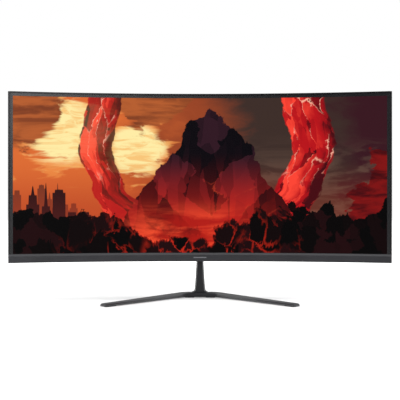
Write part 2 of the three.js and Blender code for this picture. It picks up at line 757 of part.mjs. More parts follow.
// Height, half width, front and back of the neck's outside.
const NECK_SECTIONS = [
  [NECK_BOTTOM, 18, 46.2, 70.4],
  [13.2, 14.7, 46, 70],
  [15.6, 12.6, 45.7, 69.4],
  [20, 11.6, 45.5, 69],
  [30, 10.8, 45.2, 68.3],
  [45, 9.8, 44.9, 67.3],
  [60, 9.1, 44.6, 66.2],
  [73, 8.3, 44.4, 65.4],
  [85, 7.9, 44.3, 64.8],
  [110, 7.6, 44, 64],
  [140, 8, 43.8, 63],
  [NECK_TOP, 9, 43.8, 62.4],
];
const NECK_CHAMFER = 3;

// The neck's outline at one height, with chamfered corners.
function neckRing([z, w, front, rear]) {
  const c = NECK_CHAMFER;
  const corners = [
    [c - w, front], [w - c, front], [w, front + c], [w, rear - c],
    [w - c, rear], [c - w, rear], [-w, rear - c], [-w, front + c],
  ];
  return corners.map(([x, y]) => [x, y, z]);
}

function neckBulk() {
  const rings = NECK_SECTIONS.map(neckRing);
  return skin(rings, rings[0].map(([x, y]) => [x, y]));
}

const CORE_HALF_WIDTH = 3.5;
const CORE_FRONT = 48.6;
const CORE_REAR = 59.4;
const FOOT = { halfWidth: 9, front: 50, rear: 66, bottom: 5.8, top: 13.4 };

// A steel bar with the hinge's knuckle at its head and a flange at its foot.
function neckCore() {
  const bar = block(-CORE_HALF_WIDTH, CORE_HALF_WIDTH, CORE_FRONT, CORE_REAR, FOOT.top - 1, HINGE_Z - 6);
  const knuckle = rodX(KNUCKLE_R, HINGE_Y, HINGE_Z, -KNUCKLE_HALF_WIDTH, KNUCKLE_HALF_WIDTH);
  const foot = block(-FOOT.halfWidth, FOOT.halfWidth, FOOT.front, FOOT.rear, FOOT.bottom, FOOT.top);
  return cut(
    join(bar, knuckle, foot),
    rodX(HINGE_BORE_R, HINGE_Y, HINGE_Z, -20, 20),
    rodZ(3.3, 0, HUB_MIDDLE, 0, FOOT.top - 1.5, 20),
  );
}

// The hollow inside the neck's two covers, round the steel bar and its flange.
const CORE_CLEARANCE = 0.4;
function neckHollow() {
  const c = CORE_CLEARANCE;
  return join(
    block(-CORE_HALF_WIDTH - c, CORE_HALF_WIDTH + c, CORE_FRONT - c, CORE_REAR + c, 0, 200),
    block(-FOOT.halfWidth - c, FOOT.halfWidth + c, FOOT.front - c, FOOT.rear + c, 0, FOOT.top + c),
  );
}
add("neck_core", neckCore(), steel);
add(
  "neck_front_cover",
  cut(neckBulk(), neckHollow(), block(-50, 50, NECK_SPLIT, 100, 0, 200)),
  charcoal,
);
add(
  "neck_rear_cover",
  cut(neckBulk(), neckHollow(), block(-50, 50, 0, NECK_SPLIT + GAP, 0, 200)),
  charcoal,
);

// ---- Base: hub and two legs in one casting, bent where each leg meets the hub ----
const BEND_RADIUS = 26;
const BEND_STEPS = 4;
const LEG_START_TOP = 10.6;
const LEG_START_HALF_WIDTH = 10.5;
const LEG_SLOPE = 2.4; // how far a leg's top slopes down to its front edge
const TIP_SLOPE = 1.2;
const TIP_TOP = 7;
const EDGE_CHAMFER = 3; // along the base's upper edges
const HUB_FRONT_CHAMFER = 0.5; // under the neck, where the hub's front is upright

// Stations along the right half of the base's middle line, from the hub outwards: place,
// direction, half width, top, the chamfer on the front edge and the slope of the top.
function baseStations() {
  const [dx, dy] = LEG_DIRECTION;
  const hub = { y: HUB_MIDDLE, turn: 0, half: (HUB_REAR - HUB_FRONT) / 2, top: HUB_TOP, slope: 0 };
  const stations = [
    { ...hub, x: 15, chamfer: HUB_FRONT_CHAMFER },
    { ...hub, x: 24, chamfer: EDGE_CHAMFER },
  ];
  const tangent = BEND_RADIUS * Math.tan(LEG_ANGLE / 2);
  for (let i = 0; i <= BEND_STEPS; i++) {
    const share = i / BEND_STEPS;
    const turn = share * LEG_ANGLE;
    stations.push({
      x: HUB_CORNER_X - tangent + BEND_RADIUS * Math.sin(turn),
      y: HUB_MIDDLE - BEND_RADIUS * (1 - Math.cos(turn)),
      turn,
      half: hub.half - share * (hub.half - LEG_START_HALF_WIDTH),
      top: HUB_TOP - share * (HUB_TOP - LEG_START_TOP),
      chamfer: EDGE_CHAMFER,
      slope: share * LEG_SLOPE,
    });
  }
  for (const [share, narrower] of [[0.6, 0], [0.985, 0], [1, 1.6]]) {
    stations.push({
      x: HUB_CORNER_X + dx * LEG_LENGTH * share,
      y: HUB_MIDDLE + dy * LEG_LENGTH * share,
      turn: LEG_ANGLE,
      half: LEG_START_HALF_WIDTH - share * (LEG_START_HALF_WIDTH - TIP_HALF_WIDTH) - narrower,
      top: LEG_START_TOP - share * (LEG_START_TOP - TIP_TOP) - narrower / 2,
      chamfer: EDGE_CHAMFER,
      slope: LEG_SLOPE - share * (LEG_SLOPE - TIP_SLOPE),
    });
  }
  return stations;
}

// The base's section at a station: flat underneath, with its two upper edges chamfered.
function baseRing({ x, y, turn, half, top, chamfer, slope }, side) {
  const outline = [
    [-half, BASE_BOTTOM], [half, BASE_BOTTOM], [half, top - 2], [half - EDGE_CHAMFER, top],
    [chamfer - half, top - slope], [-half, top - slope - chamfer * 2 / 3],
  ];
  return outline.map(([across, z]) => [
    side * (x + across * Math.sin(turn)),
    y + across * Math.cos(turn),
    z,
  ]);
}

const SCREW_HEAD_TOP = 3.6;
const POCKET_BOTTOM = FOOT.bottom - GAP;
function standBase() {
  const right = baseStations();
  const rings = [
    ...right.map((station) => baseRing(station, -1)).reverse(),
    ...right.map((station) => baseRing(station, 1)),
  ];
  const outline = [[-1, 0], [1, 0], [1, 0.8], [0.7, 1], [-0.7, 1], [-1, 0.8]];
  return cut(
    skin(rings, outline),
    block(
      -FOOT.halfWidth - GAP, FOOT.halfWidth + GAP, FOOT.front - GAP, FOOT.rear + GAP,
      POCKET_BOTTOM, HUB_TOP + 1,
    ),
    rodZ(3.4, 0, HUB_MIDDLE, 0, POCKET_BOTTOM + 1, 20),
    rodZ(7.6, 0, HUB_MIDDLE, 0, SCREW_HEAD_TOP, 24),
  );
}
add("stand_base", standBase(), basePaint);

// The screw under the hub that holds the neck, turned by hand or with a coin.
function baseScrew() {
  const head = rodZ(7.2, 0, HUB_MIDDLE, 1, SCREW_HEAD_TOP - GAP, 24);
  const shank = rodZ(3, 0, HUB_MIDDLE, SCREW_HEAD_TOP - 1, FOOT.top - 2.2, 20);
  const coinSlot = block(-8, 8, HUB_MIDDLE - 0.9, HUB_MIDDLE + 0.9, 0, 2.2);
  return cut(join(head, shank), coinSlot);
}
add("base_screw", baseScrew(), zinc);

// Rubber pads: one under each leg's tip and one under each side of the hub.
const PAD_TOP = BASE_BOTTOM - GAP;
function pad(halfLength, halfWidth) {
  const [l, w, c] = [halfLength, halfWidth, Math.min(halfWidth, 3)];
  const outline = [
    [-l, c - w], [c - l, -w], [l - c, -w], [l, c - w], [l, w - c], [l - c, w], [c - l, w], [-l, w - c],
  ];
  return extrudeUp(outline, 0, PAD_TOP);
}

for (const [side, sign] of [["left", -1], ["right", 1]]) {
  const tip = add(`tip_pad_${side}`, pad(14, 6.5), rubber);
  const along = LEG_LENGTH - 20;
  tip.position.set(
    sign * (HUB_CORNER_X + LEG_DIRECTION[0] * along), HUB_MIDDLE + LEG_DIRECTION[1] * along, 0,
  );
  tip.rotation.z = -sign * LEG_ANGLE;
  add(`hub_pad_${side}`, pad(10.5, 10), rubber).position.set(sign * 23, HUB_MIDDLE, 0);
}

export default monitor;
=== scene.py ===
"""Looks of a curved ultrawide computer monitor on a V-shaped stand.

Shapes are worked out in millimetres in the CAD frame and stored in metres. "Depth" is the
distance behind the front of the glass, measured square to its curve.
"""

import json
import math

import bmesh
import bpy
import numpy as np
from mathutils import Matrix, Vector


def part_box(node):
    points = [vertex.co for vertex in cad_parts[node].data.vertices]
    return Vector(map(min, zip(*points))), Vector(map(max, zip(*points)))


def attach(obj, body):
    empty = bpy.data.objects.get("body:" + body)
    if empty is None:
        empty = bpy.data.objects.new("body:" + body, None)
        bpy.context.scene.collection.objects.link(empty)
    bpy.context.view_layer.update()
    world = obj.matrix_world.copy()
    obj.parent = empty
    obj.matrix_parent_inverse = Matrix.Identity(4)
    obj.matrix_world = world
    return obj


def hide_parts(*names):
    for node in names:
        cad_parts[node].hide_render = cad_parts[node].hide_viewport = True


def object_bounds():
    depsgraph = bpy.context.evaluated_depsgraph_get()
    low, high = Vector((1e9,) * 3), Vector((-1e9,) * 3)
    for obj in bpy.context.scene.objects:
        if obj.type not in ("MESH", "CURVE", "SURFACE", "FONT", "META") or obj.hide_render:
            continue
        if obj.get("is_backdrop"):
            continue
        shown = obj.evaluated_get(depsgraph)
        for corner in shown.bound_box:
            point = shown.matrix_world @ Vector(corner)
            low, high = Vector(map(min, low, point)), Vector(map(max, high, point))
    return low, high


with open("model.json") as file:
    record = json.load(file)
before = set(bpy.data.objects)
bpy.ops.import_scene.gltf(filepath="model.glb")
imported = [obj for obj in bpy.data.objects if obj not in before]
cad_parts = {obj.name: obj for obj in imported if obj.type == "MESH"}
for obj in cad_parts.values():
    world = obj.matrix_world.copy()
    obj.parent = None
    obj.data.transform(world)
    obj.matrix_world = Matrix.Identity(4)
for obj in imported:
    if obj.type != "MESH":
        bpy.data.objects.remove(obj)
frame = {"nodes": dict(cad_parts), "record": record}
CAD_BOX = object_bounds()
RECORD = frame["record"]
BODY_OF = {n: body for body, nodes in RECORD["behaviour"]["bodies"].items() for n in nodes}
SLOT_OF = {part["node"]: part["material_slot"] for part in RECORD["subparts"]}
MM = 0.001


def box_mm(node):
    """Lowest and highest corner of a CAD node, in millimetres."""
    low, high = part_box(node)
    return low / MM, high / MM


# ---- Driving dimensions, in millimetres ----
CURVE_RADIUS = 1500.0
CURVE_STEPS = 96
GLASS_THICKNESS = 1.8
RIM_DEPTHS = (-1.0, 4.5, 9.0)
RIM_FACE = 2.8
RIM_BAR_TOP = 96.0  # top of the bar behind the chin
GAP = 0.3
CHIN_FRONT = -3.5
ACTIVE_ARC = 797.0
ACTIVE_HEIGHT = 333.5
ACTIVE_ABOVE_CHIN = 0.7
CHIN_CHAMFER = 1.0
CHIN_WALL = 2.6
LIP_HEIGHT = 4.1
LIP_DEPTHS = (-0.9, -0.4)
LENS_SLOT = (3.4, 1.6, 4.0)  # half sizes of the status light's slot
BADGE_PROUD = 0.8  # how far the badge stands in front of the chin
COVER_WALL = 2.4
COVER_EDGE = 9.3
COVER_DEPTH = 22.0

GLASS_LOW, GLASS_HIGH = box_mm("lcd_panel")
RIM_LOW, RIM_HIGH = box_mm("front_bezel")
CHIN_LOW, CHIN_HIGH = box_mm("chin_trim")
COVER_LOW, COVER_HIGH = box_mm("rear_cover")
GLASS_Y = GLASS_HIGH.y - GLASS_THICKNESS
RIM_ANGLE = math.asin(RIM_HIGH.x / (CURVE_RADIUS + RIM_DEPTHS[2]))
RIM_INNER_ANGLE = RIM_ANGLE - RIM_FACE / CURVE_RADIUS
GLASS_ANGLE = RIM_INNER_ANGLE - GAP / CURVE_RADIUS
ACTIVE_ANGLE = ACTIVE_ARC / 2 / CURVE_RADIUS
ACTIVE_BOTTOM = CHIN_HIGH.z + ACTIVE_ABOVE_CHIN


def on_curve(angle, depth, z):
    """The point at an angle round the screen's curve, a depth behind the glass."""
    r = CURVE_RADIUS + depth
    return Vector((r * math.sin(angle), r * math.cos(angle) - CURVE_RADIUS + GLASS_Y, z))


# ---- Mesh helpers ----
def add_object(name, points, faces):
    """A mesh object from points in millimetres, with its faces turned outwards."""
    mesh = bpy.data.meshes.new(name)
    mesh.from_pydata([Vector(p) * MM for p in points], [], faces)
    work = bmesh.new()
    work.from_mesh(mesh)
    bmesh.ops.recalc_face_normals(work, faces=work.faces)
    work.to_mesh(mesh)
    work.free()
    made = bpy.data.objects.new(name, mesh)
    bpy.context.scene.collection.objects.link(made)
    return made


def skin(name, rings):
    """A closed body through rings of equally many points."""
    count = len(rings[0])
    points = [p for ring in rings for p in ring]
    faces = [list(range(count)), list(range(len(points) - count, len(points)))]
    for base in range(0, len(points) - count, count):
        for i in range(count):
            j = (i + 1) % count
            faces.append([base + i, base + j, base + count + j, base + count + i])
    return add_object(name, points, faces)


def sweep(name, section, angles):
    """A [depth, z] section swept round the screen's curve."""
    return skin(name, [[on_curve(a, depth, z) for depth, z in section] for a in angles])


def turn(name, profile, axis_point, axis, steps):
    """A closed body of revolution, from [radius, distance along the axis] points."""
    side = axis.orthogonal().normalized()
    rings = []
    for i in range(steps):
        out = Matrix.Rotation(2 * math.pi * i / steps, 3, axis) @ side
        rings.append([axis_point + axis * along + out * radius for radius, along in profile])
    count = len(profile)
    points = [p for ring in rings for p in ring]
    faces = []
    for i in range(steps):
        for j in range(count - 1):
            a, b = i * count + j, (i + 1) % steps * count + j
            faces.append([a, a + 1, b + 1, b])
    made = add_object(name, points, faces)
    work = bmesh.new()
    work.from_mesh(made.data)
    bmesh.ops.remove_doubles(work, verts=work.verts, dist=1e-6)
    bmesh.ops.dissolve_degenerate(work, edges=work.edges, dist=1e-7)
    bmesh.ops.recalc_face_normals(work, faces=work.faces)
    work.to_mesh(made.data)
    work.free()
    return made


def grid_solid(name, xs, ys, zs, filled, place):
    """The outside of the filled cells of a three-way grid. place turns a corner's grid
    values into a point, and filled takes the middle of a cell."""
    shape = (len(xs) - 1, len(ys) - 1, len(zs) - 1)
    mids = [[(a + b) / 2 for a, b in zip(line, line[1:])] for line in (xs, ys, zs)]
    solid = np.zeros([n + 2 for n in shape], bool)
    for i, x in enumerate(mids[0]):
        for j, y in enumerate(mids[1]):
            for k, z in enumerate(mids[2]):
                solid[i + 1, j + 1, k + 1] = filled(x, y, z)
    corners = {}
    points = []
    faces = []

    def corner(index):
        if index not in corners:
            corners[index] = len(points)
            points.append(place(xs[index[0]], ys[index[1]], zs[index[2]]))
        return corners[index]

    for axis in range(3):
        one, two = [a for a in range(3) if a != axis]
        step = [0, 0, 0]
        step[axis] = 1
        ahead = solid[tuple(slice(s, None) for s in step)]
        behind = solid[tuple(slice(None, -1 if s else None) for s in step)]
        for at in np.argwhere(ahead != behind):
            low = [int(v) - 1 for v in at]
            low[axis] += 1
            loop = []
            for d1, d2 in ((0, 0), (1, 0), (1, 1), (0, 1)):
                index = list(low)
                index[one] += d1
                index[two] += d2
                loop.append(corner(tuple(index)))
            faces.append(loop)
    return add_object(name, points, faces)


def spread(stops, largest):
    """The stops, sorted, with more put between any two that are further apart than largest."""
    stops = sorted(set(round(s, 6) for s in stops))
    line = [stops[0]]
    for a, b in zip(stops, stops[1:]):
        parts = max(1, math.ceil((b - a) / largest))
        line += [a + (b - a) * i / parts for i in range(1, parts + 1)]
    return line


def cylinder(start, end, radius, steps):
    """A plain cylinder to cut with."""
    start, end = Vector(start), Vector(end)
    axis = (end - start).normalized()
    side = axis.orthogonal().normalized() * radius
    around = [Matrix.Rotation(2 * math.pi * i / steps, 3, axis) @ side for i in range(steps)]
    return skin("cutter", [[start + p for p in around], [end + p for p in around]])


def cut(piece, cutters):
    """Cuts the cutters out of the piece and removes them."""
    for cutter in cutters:
        change = piece.modifiers.new("cut", "BOOLEAN")
        change.operation = "DIFFERENCE"
        change.solver = "EXACT"
        change.object = cutter
    graph = bpy.context.evaluated_depsgraph_get()
    mesh = bpy.data.meshes.new_from_object(piece.evaluated_get(graph))
    piece.modifiers.clear()
    piece.data = mesh
    for cutter in cutters:
        bpy.data.objects.remove(cutter)


def soften(piece, width, segments=2, angle=32):
    """Smooth shading, with the piece's sharp edges rounded."""
    piece.data.shade_smooth()
    if width:
        bevel = piece.modifiers.new("edges", "BEVEL")
        bevel.width = width * MM
        bevel.segments = segments
        bevel.limit_method = "ANGLE"
        bevel.angle_limit = math.radians(angle)
        bevel.use_clamp_overlap = True
        bevel.harden_normals = False
    normals = piece.modifiers.new("normals", "WEIGHTED_NORMAL")
    normals.keep_sharp = False
    normals.weight = 60


def dress(piece, node, material, width=0.4, segments=2, angle=32):
    """Gives a piece its material and edges, and puts it in a CAD node's place."""
    if not piece.data.materials:
        piece.data.materials.append(material)
    soften(piece, width, segments, angle)
    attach(piece, BODY_OF[node])
    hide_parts(node)


# ---- Materials ----
class Net:
    """A node tree with short calls for the arithmetic of a pattern."""

    def __init__(self, name):
        self.material = bpy.data.materials.new(name)
        self.material.use_nodes = True
        self.tree = self.material.node_tree
        self.shader = self.tree.nodes["Principled BSDF"]

    def node(self, kind, inputs=(), **settings):
        made = self.tree.nodes.new(kind)
        for key, value in settings.items():
            setattr(made, key, value)
        for key, value in dict(inputs).items():
            self.join(value, made.inputs[key])
        return made

    def join(self, value, socket):
        if isinstance(value, bpy.types.NodeSocket):
            self.tree.links.new(value, socket)
        else:
            socket.default_value = value

    def math(self, operation, a, b=0.0):
        return self.node("ShaderNodeMath", {0: a, 1: b}, operation=operation).outputs[0]

    def add(self, a, b):
        return self.math("ADD", a, b)

    def sub(self, a, b):
        return self.math("SUBTRACT", a, b)

    def mul(self, a, b):
        return self.math("MULTIPLY", a, b)

    def ramp(self, value, low, high, start=0.0, end=1.0):
        """Rises smoothly from start to end as value goes from low to high."""
        inputs = {"Value": value, "From Min": low, "From Max": high, "To Min": start, "To Max": end}
        made = self.node("ShaderNodeMapRange", inputs, interpolation_type="SMOOTHSTEP")
        return made.outputs["Result"]

    def mix(self, factor, a, b):
        """Colour a where factor is 0, and b where it is 1."""
        made = self.node("ShaderNodeMix", data_type="RGBA")
        self.join(factor, made.inputs["Factor"])
        self.join(rgba(a), made.inputs[6])
        self.join(rgba(b), made.inputs[7])
        return made.outputs[2]

    def vector(self, x, y, z=0.0):
        return self.node("ShaderNodeCombineXYZ", {"X": x, "Y": y, "Z": z}).outputs[0]

    def noise(self, vector, scale, detail=3.0, roughness=0.5, distortion=0.0):
        inputs = {
            "Vector": vector, "Scale": scale, "Detail": detail, "Roughness": roughness,
            "Distortion": distortion,
        }
        return self.node("ShaderNodeTexNoise", inputs).outputs["Fac"]

    def here(self):
        return self.node("ShaderNodeTexCoord").outputs["Object"]


def rgba(colour):
    return colour if isinstance(colour, bpy.types.NodeSocket) else (*colour, 1.0)


def surface(name, colour, roughness, metallic=0.0, grain=400.0, depth=0.00002, vary=0.12,
            specular=0.5, stretch=(1, 1, 1)):
    """A moulded or painted surface: its colour and gloss drift a little, over a fine grain."""
    net = Net(name)
    place = net.node("ShaderNodeMapping", {"Vector": net.here(), "Scale": stretch}).outputs[0]
    cloud = net.noise(place, 14.0, 4.0)
    fine = net.noise(place, grain, 2.0, 0.6)
    darker = tuple(c * (1 - vary) for c in colour)
    lighter = tuple(min(1.0, c * (1 + vary)) for c in colour)
    net.join(net.mix(net.ramp(cloud, 0.3, 0.7), darker, lighter), net.shader.inputs["Base Color"])
    gloss = net.add(net.mul(cloud, 0.08), net.mul(fine, 0.1))
    net.join(net.add(gloss, roughness - 0.09), net.shader.inputs["Roughness"])
    bump = net.node("ShaderNodeBump", {"Height": fine, "Strength": 0.35, "Distance": depth})
    net.join(bump.outputs[0], net.shader.inputs["Normal"])
    net.shader.inputs["Metallic"].default_value = metallic
    net.shader.inputs["Specular IOR Level"].default_value = specular
    return net.material


def circuit_board(name):
    """Green solder mask with faint tracks."""
    net = Net(name)
    tracks = net.node(
        "ShaderNodeTexVoronoi", {"Vector": net.here(), "Scale": 160.0},
        feature="DISTANCE_TO_EDGE", distance="MANHATTAN",
    ).outputs["Distance"]
    line = net.ramp(tracks, 0.03, 0.08)
    net.join(net.mix(line, (0.03, 0.2, 0.08), (0.01, 0.08, 0.03)), net.shader.inputs["Base Color"])
    net.join(net.ramp(tracks, 0.03, 0.2, 0.25, 0.4), net.shader.inputs["Roughness"])
    return net.material


def clear_plastic(name):
    net = Net(name)
    cloud = net.noise(net.here(), 60.0)
    net.join(net.ramp(cloud, 0.3, 0.7, 0.06, 0.16), net.shader.inputs["Roughness"])
    net.join(net.mix(cloud, (0.75, 0.8, 0.84), (0.85, 0.88, 0.9)), net.shader.inputs["Base Color"])
    net.shader.inputs["Transmission Weight"].default_value = 0.6
    net.shader.inputs["IOR"].default_value = 1.49
    return net.material


MATERIALS = {
    "charcoal_plastic": surface(
        "charcoal_plastic", (0.0165, 0.0165, 0.0195), 0.42, grain=900.0, specular=0.24,
    ),
    "neck_plastic": surface("neck_plastic", (0.010, 0.010, 0.0115), 0.36, grain=900.0, specular=0.22),
    "rim_plastic": surface(
        "rim_plastic", (0.003, 0.003, 0.0035), 0.28, grain=900.0, depth=0.000006, specular=0.22,
    ),
    "cover_plastic": surface(
        "cover_plastic", (0.008, 0.008, 0.009), 0.5, grain=1500.0, depth=0.00006, specular=0.35,
    ),
    "film": surface("film", (0.8, 0.82, 0.85), 0.35),
    "clear_acrylic": clear_plastic("clear_acrylic"),
    "frame_plastic": surface("frame_plastic", (0.014, 0.014, 0.015), 0.55),
    "steel": surface(
        "steel", (0.16, 0.165, 0.175), 0.38, 1.0, grain=500.0, vary=0.06, stretch=(1, 1, 8),
    ),
    "zinc_plated_steel": surface("zinc_plated_steel", (0.30, 0.30, 0.29), 0.34, 1.0, vary=0.08),
    "circuit_board": circuit_board("circuit_board"),
    "socket_metal": surface("socket_metal", (0.55, 0.56, 0.58), 0.25, 1.0, vary=0.05),
    "black_plastic": surface("black_plastic", (0.006, 0.006, 0.007), 0.36, grain=900.0),
    "silver_ink": surface("silver_ink", (0.11, 0.11, 0.12), 0.4, vary=0.05, specular=0.3),
    "label_foil": surface("label_foil", (0.05, 0.05, 0.052), 0.45, vary=0.06),
    "base_paint": surface("base_paint", (0.012, 0.012, 0.014), 0.36, grain=1400.0, specular=0.24),
    "rubber": surface("rubber", (0.004, 0.004, 0.004), 0.8, grain=700.0, depth=0.00008, specular=0.2),
    "screen_glass": surface("screen_border", (0.004, 0.004, 0.005), 0.28, grain=1800.0,
                            specular=0.32),
}


# ---- The picture on the screen ----
PICTURE_ASPECT = 2.39  # width over height
# Linear red, green and blue of what it shows.
ORANGE_SKY = (0.72, 0.150, 0.032)
RUST_SKY = (0.320, 0.058, 0.018)
DUSK_SKY = (0.046, 0.026, 0.021)
PURPLE_SKY = (0.040, 0.008, 0.014)
PALE_CLOUD = (0.115, 0.066, 0.048)
DARK_CLOUD = (0.210, 0.046, 0.015)
BROWN_CLOUD = (0.47, 0.112, 0.028)
GOLD = (0.88, 0.27, 0.060)
PALE_YELLOW = (1.0, 0.84, 0.38)
DEEP_YELLOW = (0.93, 0.47, 0.13)
RED_HAZE = (0.50, 0.060, 0.018)
PILLAR_COLOURS = ((0.060, 0.002, 0.005), (0.48, 0.006, 0.010), (0.98, 0.060, 0.035))
PILLAR_CRACK = (1.0, 0.48, 0.34)
PEAK_COLOURS = ((0.002, 0.001, 0.003), (0.030, 0.008, 0.016))
PEAK_FOOT = (0.68, 0.020, 0.010)
PEAK_CRACK = (0.90, 0.09, 0.03)
FAR_TOWERS = ((0.16, 0.036, 0.016), (0.30, 0.040, 0.016))
NEAR_TOWERS = ((0.018, 0.005, 0.006), (0.070, 0.010, 0.009))
SMOKE_COLOURS = ((0.050, 0.002, 0.004), (0.22, 0.006, 0.006))
FIRE_COLOURS = ((0.42, 0.010, 0.006), (1.0, 0.085, 0.030))
STONE_COLOURS = ((0.0006, 0.0003, 0.0005), (0.014, 0.002, 0.003))
STONE_GLINT = (0.60, 0.022, 0.008)
STONE_RIM = (0.36, 0.012, 0.006)
# Each pillar: height and place of its middle line's bends, half width, and how solid it is.
PILLARS = (
    ((0.20, 0.325), (0.42, 0.252), (0.66, 0.218), (1.0, 0.240), 0.044, 0.92),
    ((0.20, 0.690), (0.42, 0.768), (0.66, 0.806), (1.0, 0.780), 0.058, 1.0),
)


class Picture(Net):
    """The picture's nodes. u and v run from 0 to 1 across it and up it."""

    def __init__(self):
        super().__init__("screen_picture")
        uv = self.node("ShaderNodeUVMap", uv_map="picture").outputs[0]
        parts = self.node("ShaderNodeSeparateXYZ", {0: uv})
        u, v = self.u, self.v = parts.outputs[0], parts.outputs[1]
        self.wide = self.mul(u, PICTURE_ASPECT)
        warp = self.sub(self.noise(self.vector(self.wide, self.mul(v, 1.6)), 1.4, 4.0), 0.5)
        self.bent = self.add(self.wide, self.mul(warp, 0.9))
        self.banks = self.noise(self.vector(self.bent, self.mul(v, 2.2)), 2.0, 9.0, 0.60, 0.3)
        shifted = self.vector(self.add(self.bent, 4.0), self.mul(v, 4.5))
        self.streaks = self.noise(shifted, 3.0, 7.0, 0.58, 0.4)

    def blob(self, x, y, reach_x, reach_y):
        """1 at a point, falling to 0 at an ellipse round it."""
        dx = self.mul(self.sub(self.u, x), 1 / reach_x)
        dy = self.mul(self.sub(self.v, y), 1 / reach_y)
        away = self.math("SQRT", self.add(self.mul(dx, dx), self.mul(dy, dy)))
        return self.ramp(away, 1.0, 0.0)

    def cells(self, vector, feature):
        inputs = {"Vector": vector, "Scale": 1.0}
        return self.node("ShaderNodeTexVoronoi", inputs, feature=feature)

    def facets(self, vector):
        """A random brightness for each flat facet of a rock, and its distance from an edge."""
        colour = self.cells(vector, "F1").outputs["Color"]
        random = self.node("ShaderNodeSeparateXYZ", {0: colour}).outputs[0]
        return random, self.cells(vector, "DISTANCE_TO_EDGE").outputs["Distance"]


def paint_sky(net):
    """Yellow light on the left, brown in the middle and dark dusk on the right."""
    u, v, bent, banks, streaks = net.u, net.v, net.bent, net.banks, net.streaks
    across = net.add(u, net.mul(net.sub(banks, 0.5), 0.35))
    sky = net.mix(net.ramp(across, 0.24, 0.46), ORANGE_SKY, RUST_SKY)
    sky = net.mix(net.ramp(across, 0.46, 0.64), sky, DUSK_SKY)
    sky = net.mix(net.ramp(across, 0.80, 0.94), sky, PURPLE_SKY)
    low_right = net.mul(net.ramp(v, 0.80, 0.45), net.ramp(u, 0.5, 0.7))
    pale = net.mul(net.ramp(streaks, 0.42, 0.60), low_right)
    sky = net.mix(net.mul(pale, 0.8), sky, PALE_CLOUD)
    gold = net.math("MAXIMUM", net.blob(0.14, 0.78, 0.22, 0.46), net.blob(0.33, 0.66, 0.15, 0.34))
    lit = net.ramp(net.add(gold, net.mul(net.sub(streaks, 0.5), 2.0)), 0.30, 0.52)
    hot = net.ramp(net.add(gold, net.mul(net.sub(banks, 0.5), 1.2)), 0.35, 0.75)
    yellow = net.mix(hot, GOLD, PALE_YELLOW)
    brushed = net.noise(net.vector(net.add(bent, 8.0), net.mul(v, 5.0)), 5.5, 6.0, 0.6, 0.6)
    yellow = net.mix(net.ramp(brushed, 0.54, 0.36, 0.0, 0.75), yellow, DEEP_YELLOW)
    sky = net.mix(net.mul(lit, net.ramp(u, 0.50, 0.38)), sky, yellow)
    heavy = net.add(net.blob(0.02, 0.96, 0.20, 0.44), net.mul(net.blob(0.38, 1.0, 0.17, 0.30), 0.9))
    heavy = net.ramp(net.add(heavy, net.mul(net.sub(banks, 0.5), 1.7)), 0.30, 0.40)
    sky = net.mix(heavy, sky, net.mix(net.ramp(streaks, 0.36, 0.62), DARK_CLOUD, BROWN_CLOUD))
    haze = net.mul(net.ramp(v, 0.62, 0.24), net.ramp(u, 0.80, 0.40, 0.20, 0.8))
    return net.mix(haze, sky, RED_HAZE)


def paint_pillar(net, picture, number):
    """A bent pillar of red rock, darker on its right side."""
    u, v = net.u, net.v
    *bends, width, solid = PILLARS[number]
    middle = bends[0][1]
    for (v1, u1), (v2, u2) in zip(bends, bends[1:]):
        middle = net.add(middle, net.ramp(v, v1, v2, 0.0, u2 - u1))
    off = net.math("DIVIDE", net.sub(u, middle), net.ramp(v, 0.45, 0.12, width, width * 1.9))
    grain = net.noise(net.vector(off, net.mul(v, 5.0), number * 7.0), 1.6, 7.0, 0.62)
    rough = net.sub(grain, 0.5)
    slab_x = net.add(net.mul(off, 1.5), net.mul(rough, 1.6))
    random, edge = net.facets(net.vector(slab_x, net.mul(v, 3.2), number * 3.0))
    chip_y = net.add(net.mul(v, 8.0), net.mul(rough, 2.0))
    small, _ = net.facets(net.vector(net.mul(off, 3.4), chip_y, number + 9.0))
    tone = net.add(net.mul(random, 0.6), net.mul(small, 0.4))
    tone = net.add(net.mul(tone, net.ramp(off, 1.1, -0.5, 0.35, 1.0)), net.mul(rough, 0.5))
    dark, middling, light = PILLAR_COLOURS
    rock = net.mix(net.ramp(tone, 0.10, 0.42), dark, middling)
    rock = net.mix(net.ramp(tone, 0.42, 0.78), rock, light)
    crack = net.mul(net.ramp(edge, 0.035, 0.0), net.ramp(rough, -0.06, 0.10))
    rock = net.mix(net.mul(crack, net.ramp(v, 0.35, 0.7)), rock, PILLAR_CRACK)
    inside = net.ramp(net.add(net.math("ABSOLUTE", off), net.mul(rough, 0.7)), 1.04, 0.96)
    inside = net.mul(inside, net.ramp(v, 0.10, 0.24))
    return net.mix(net.mul(inside, solid), picture, rock)


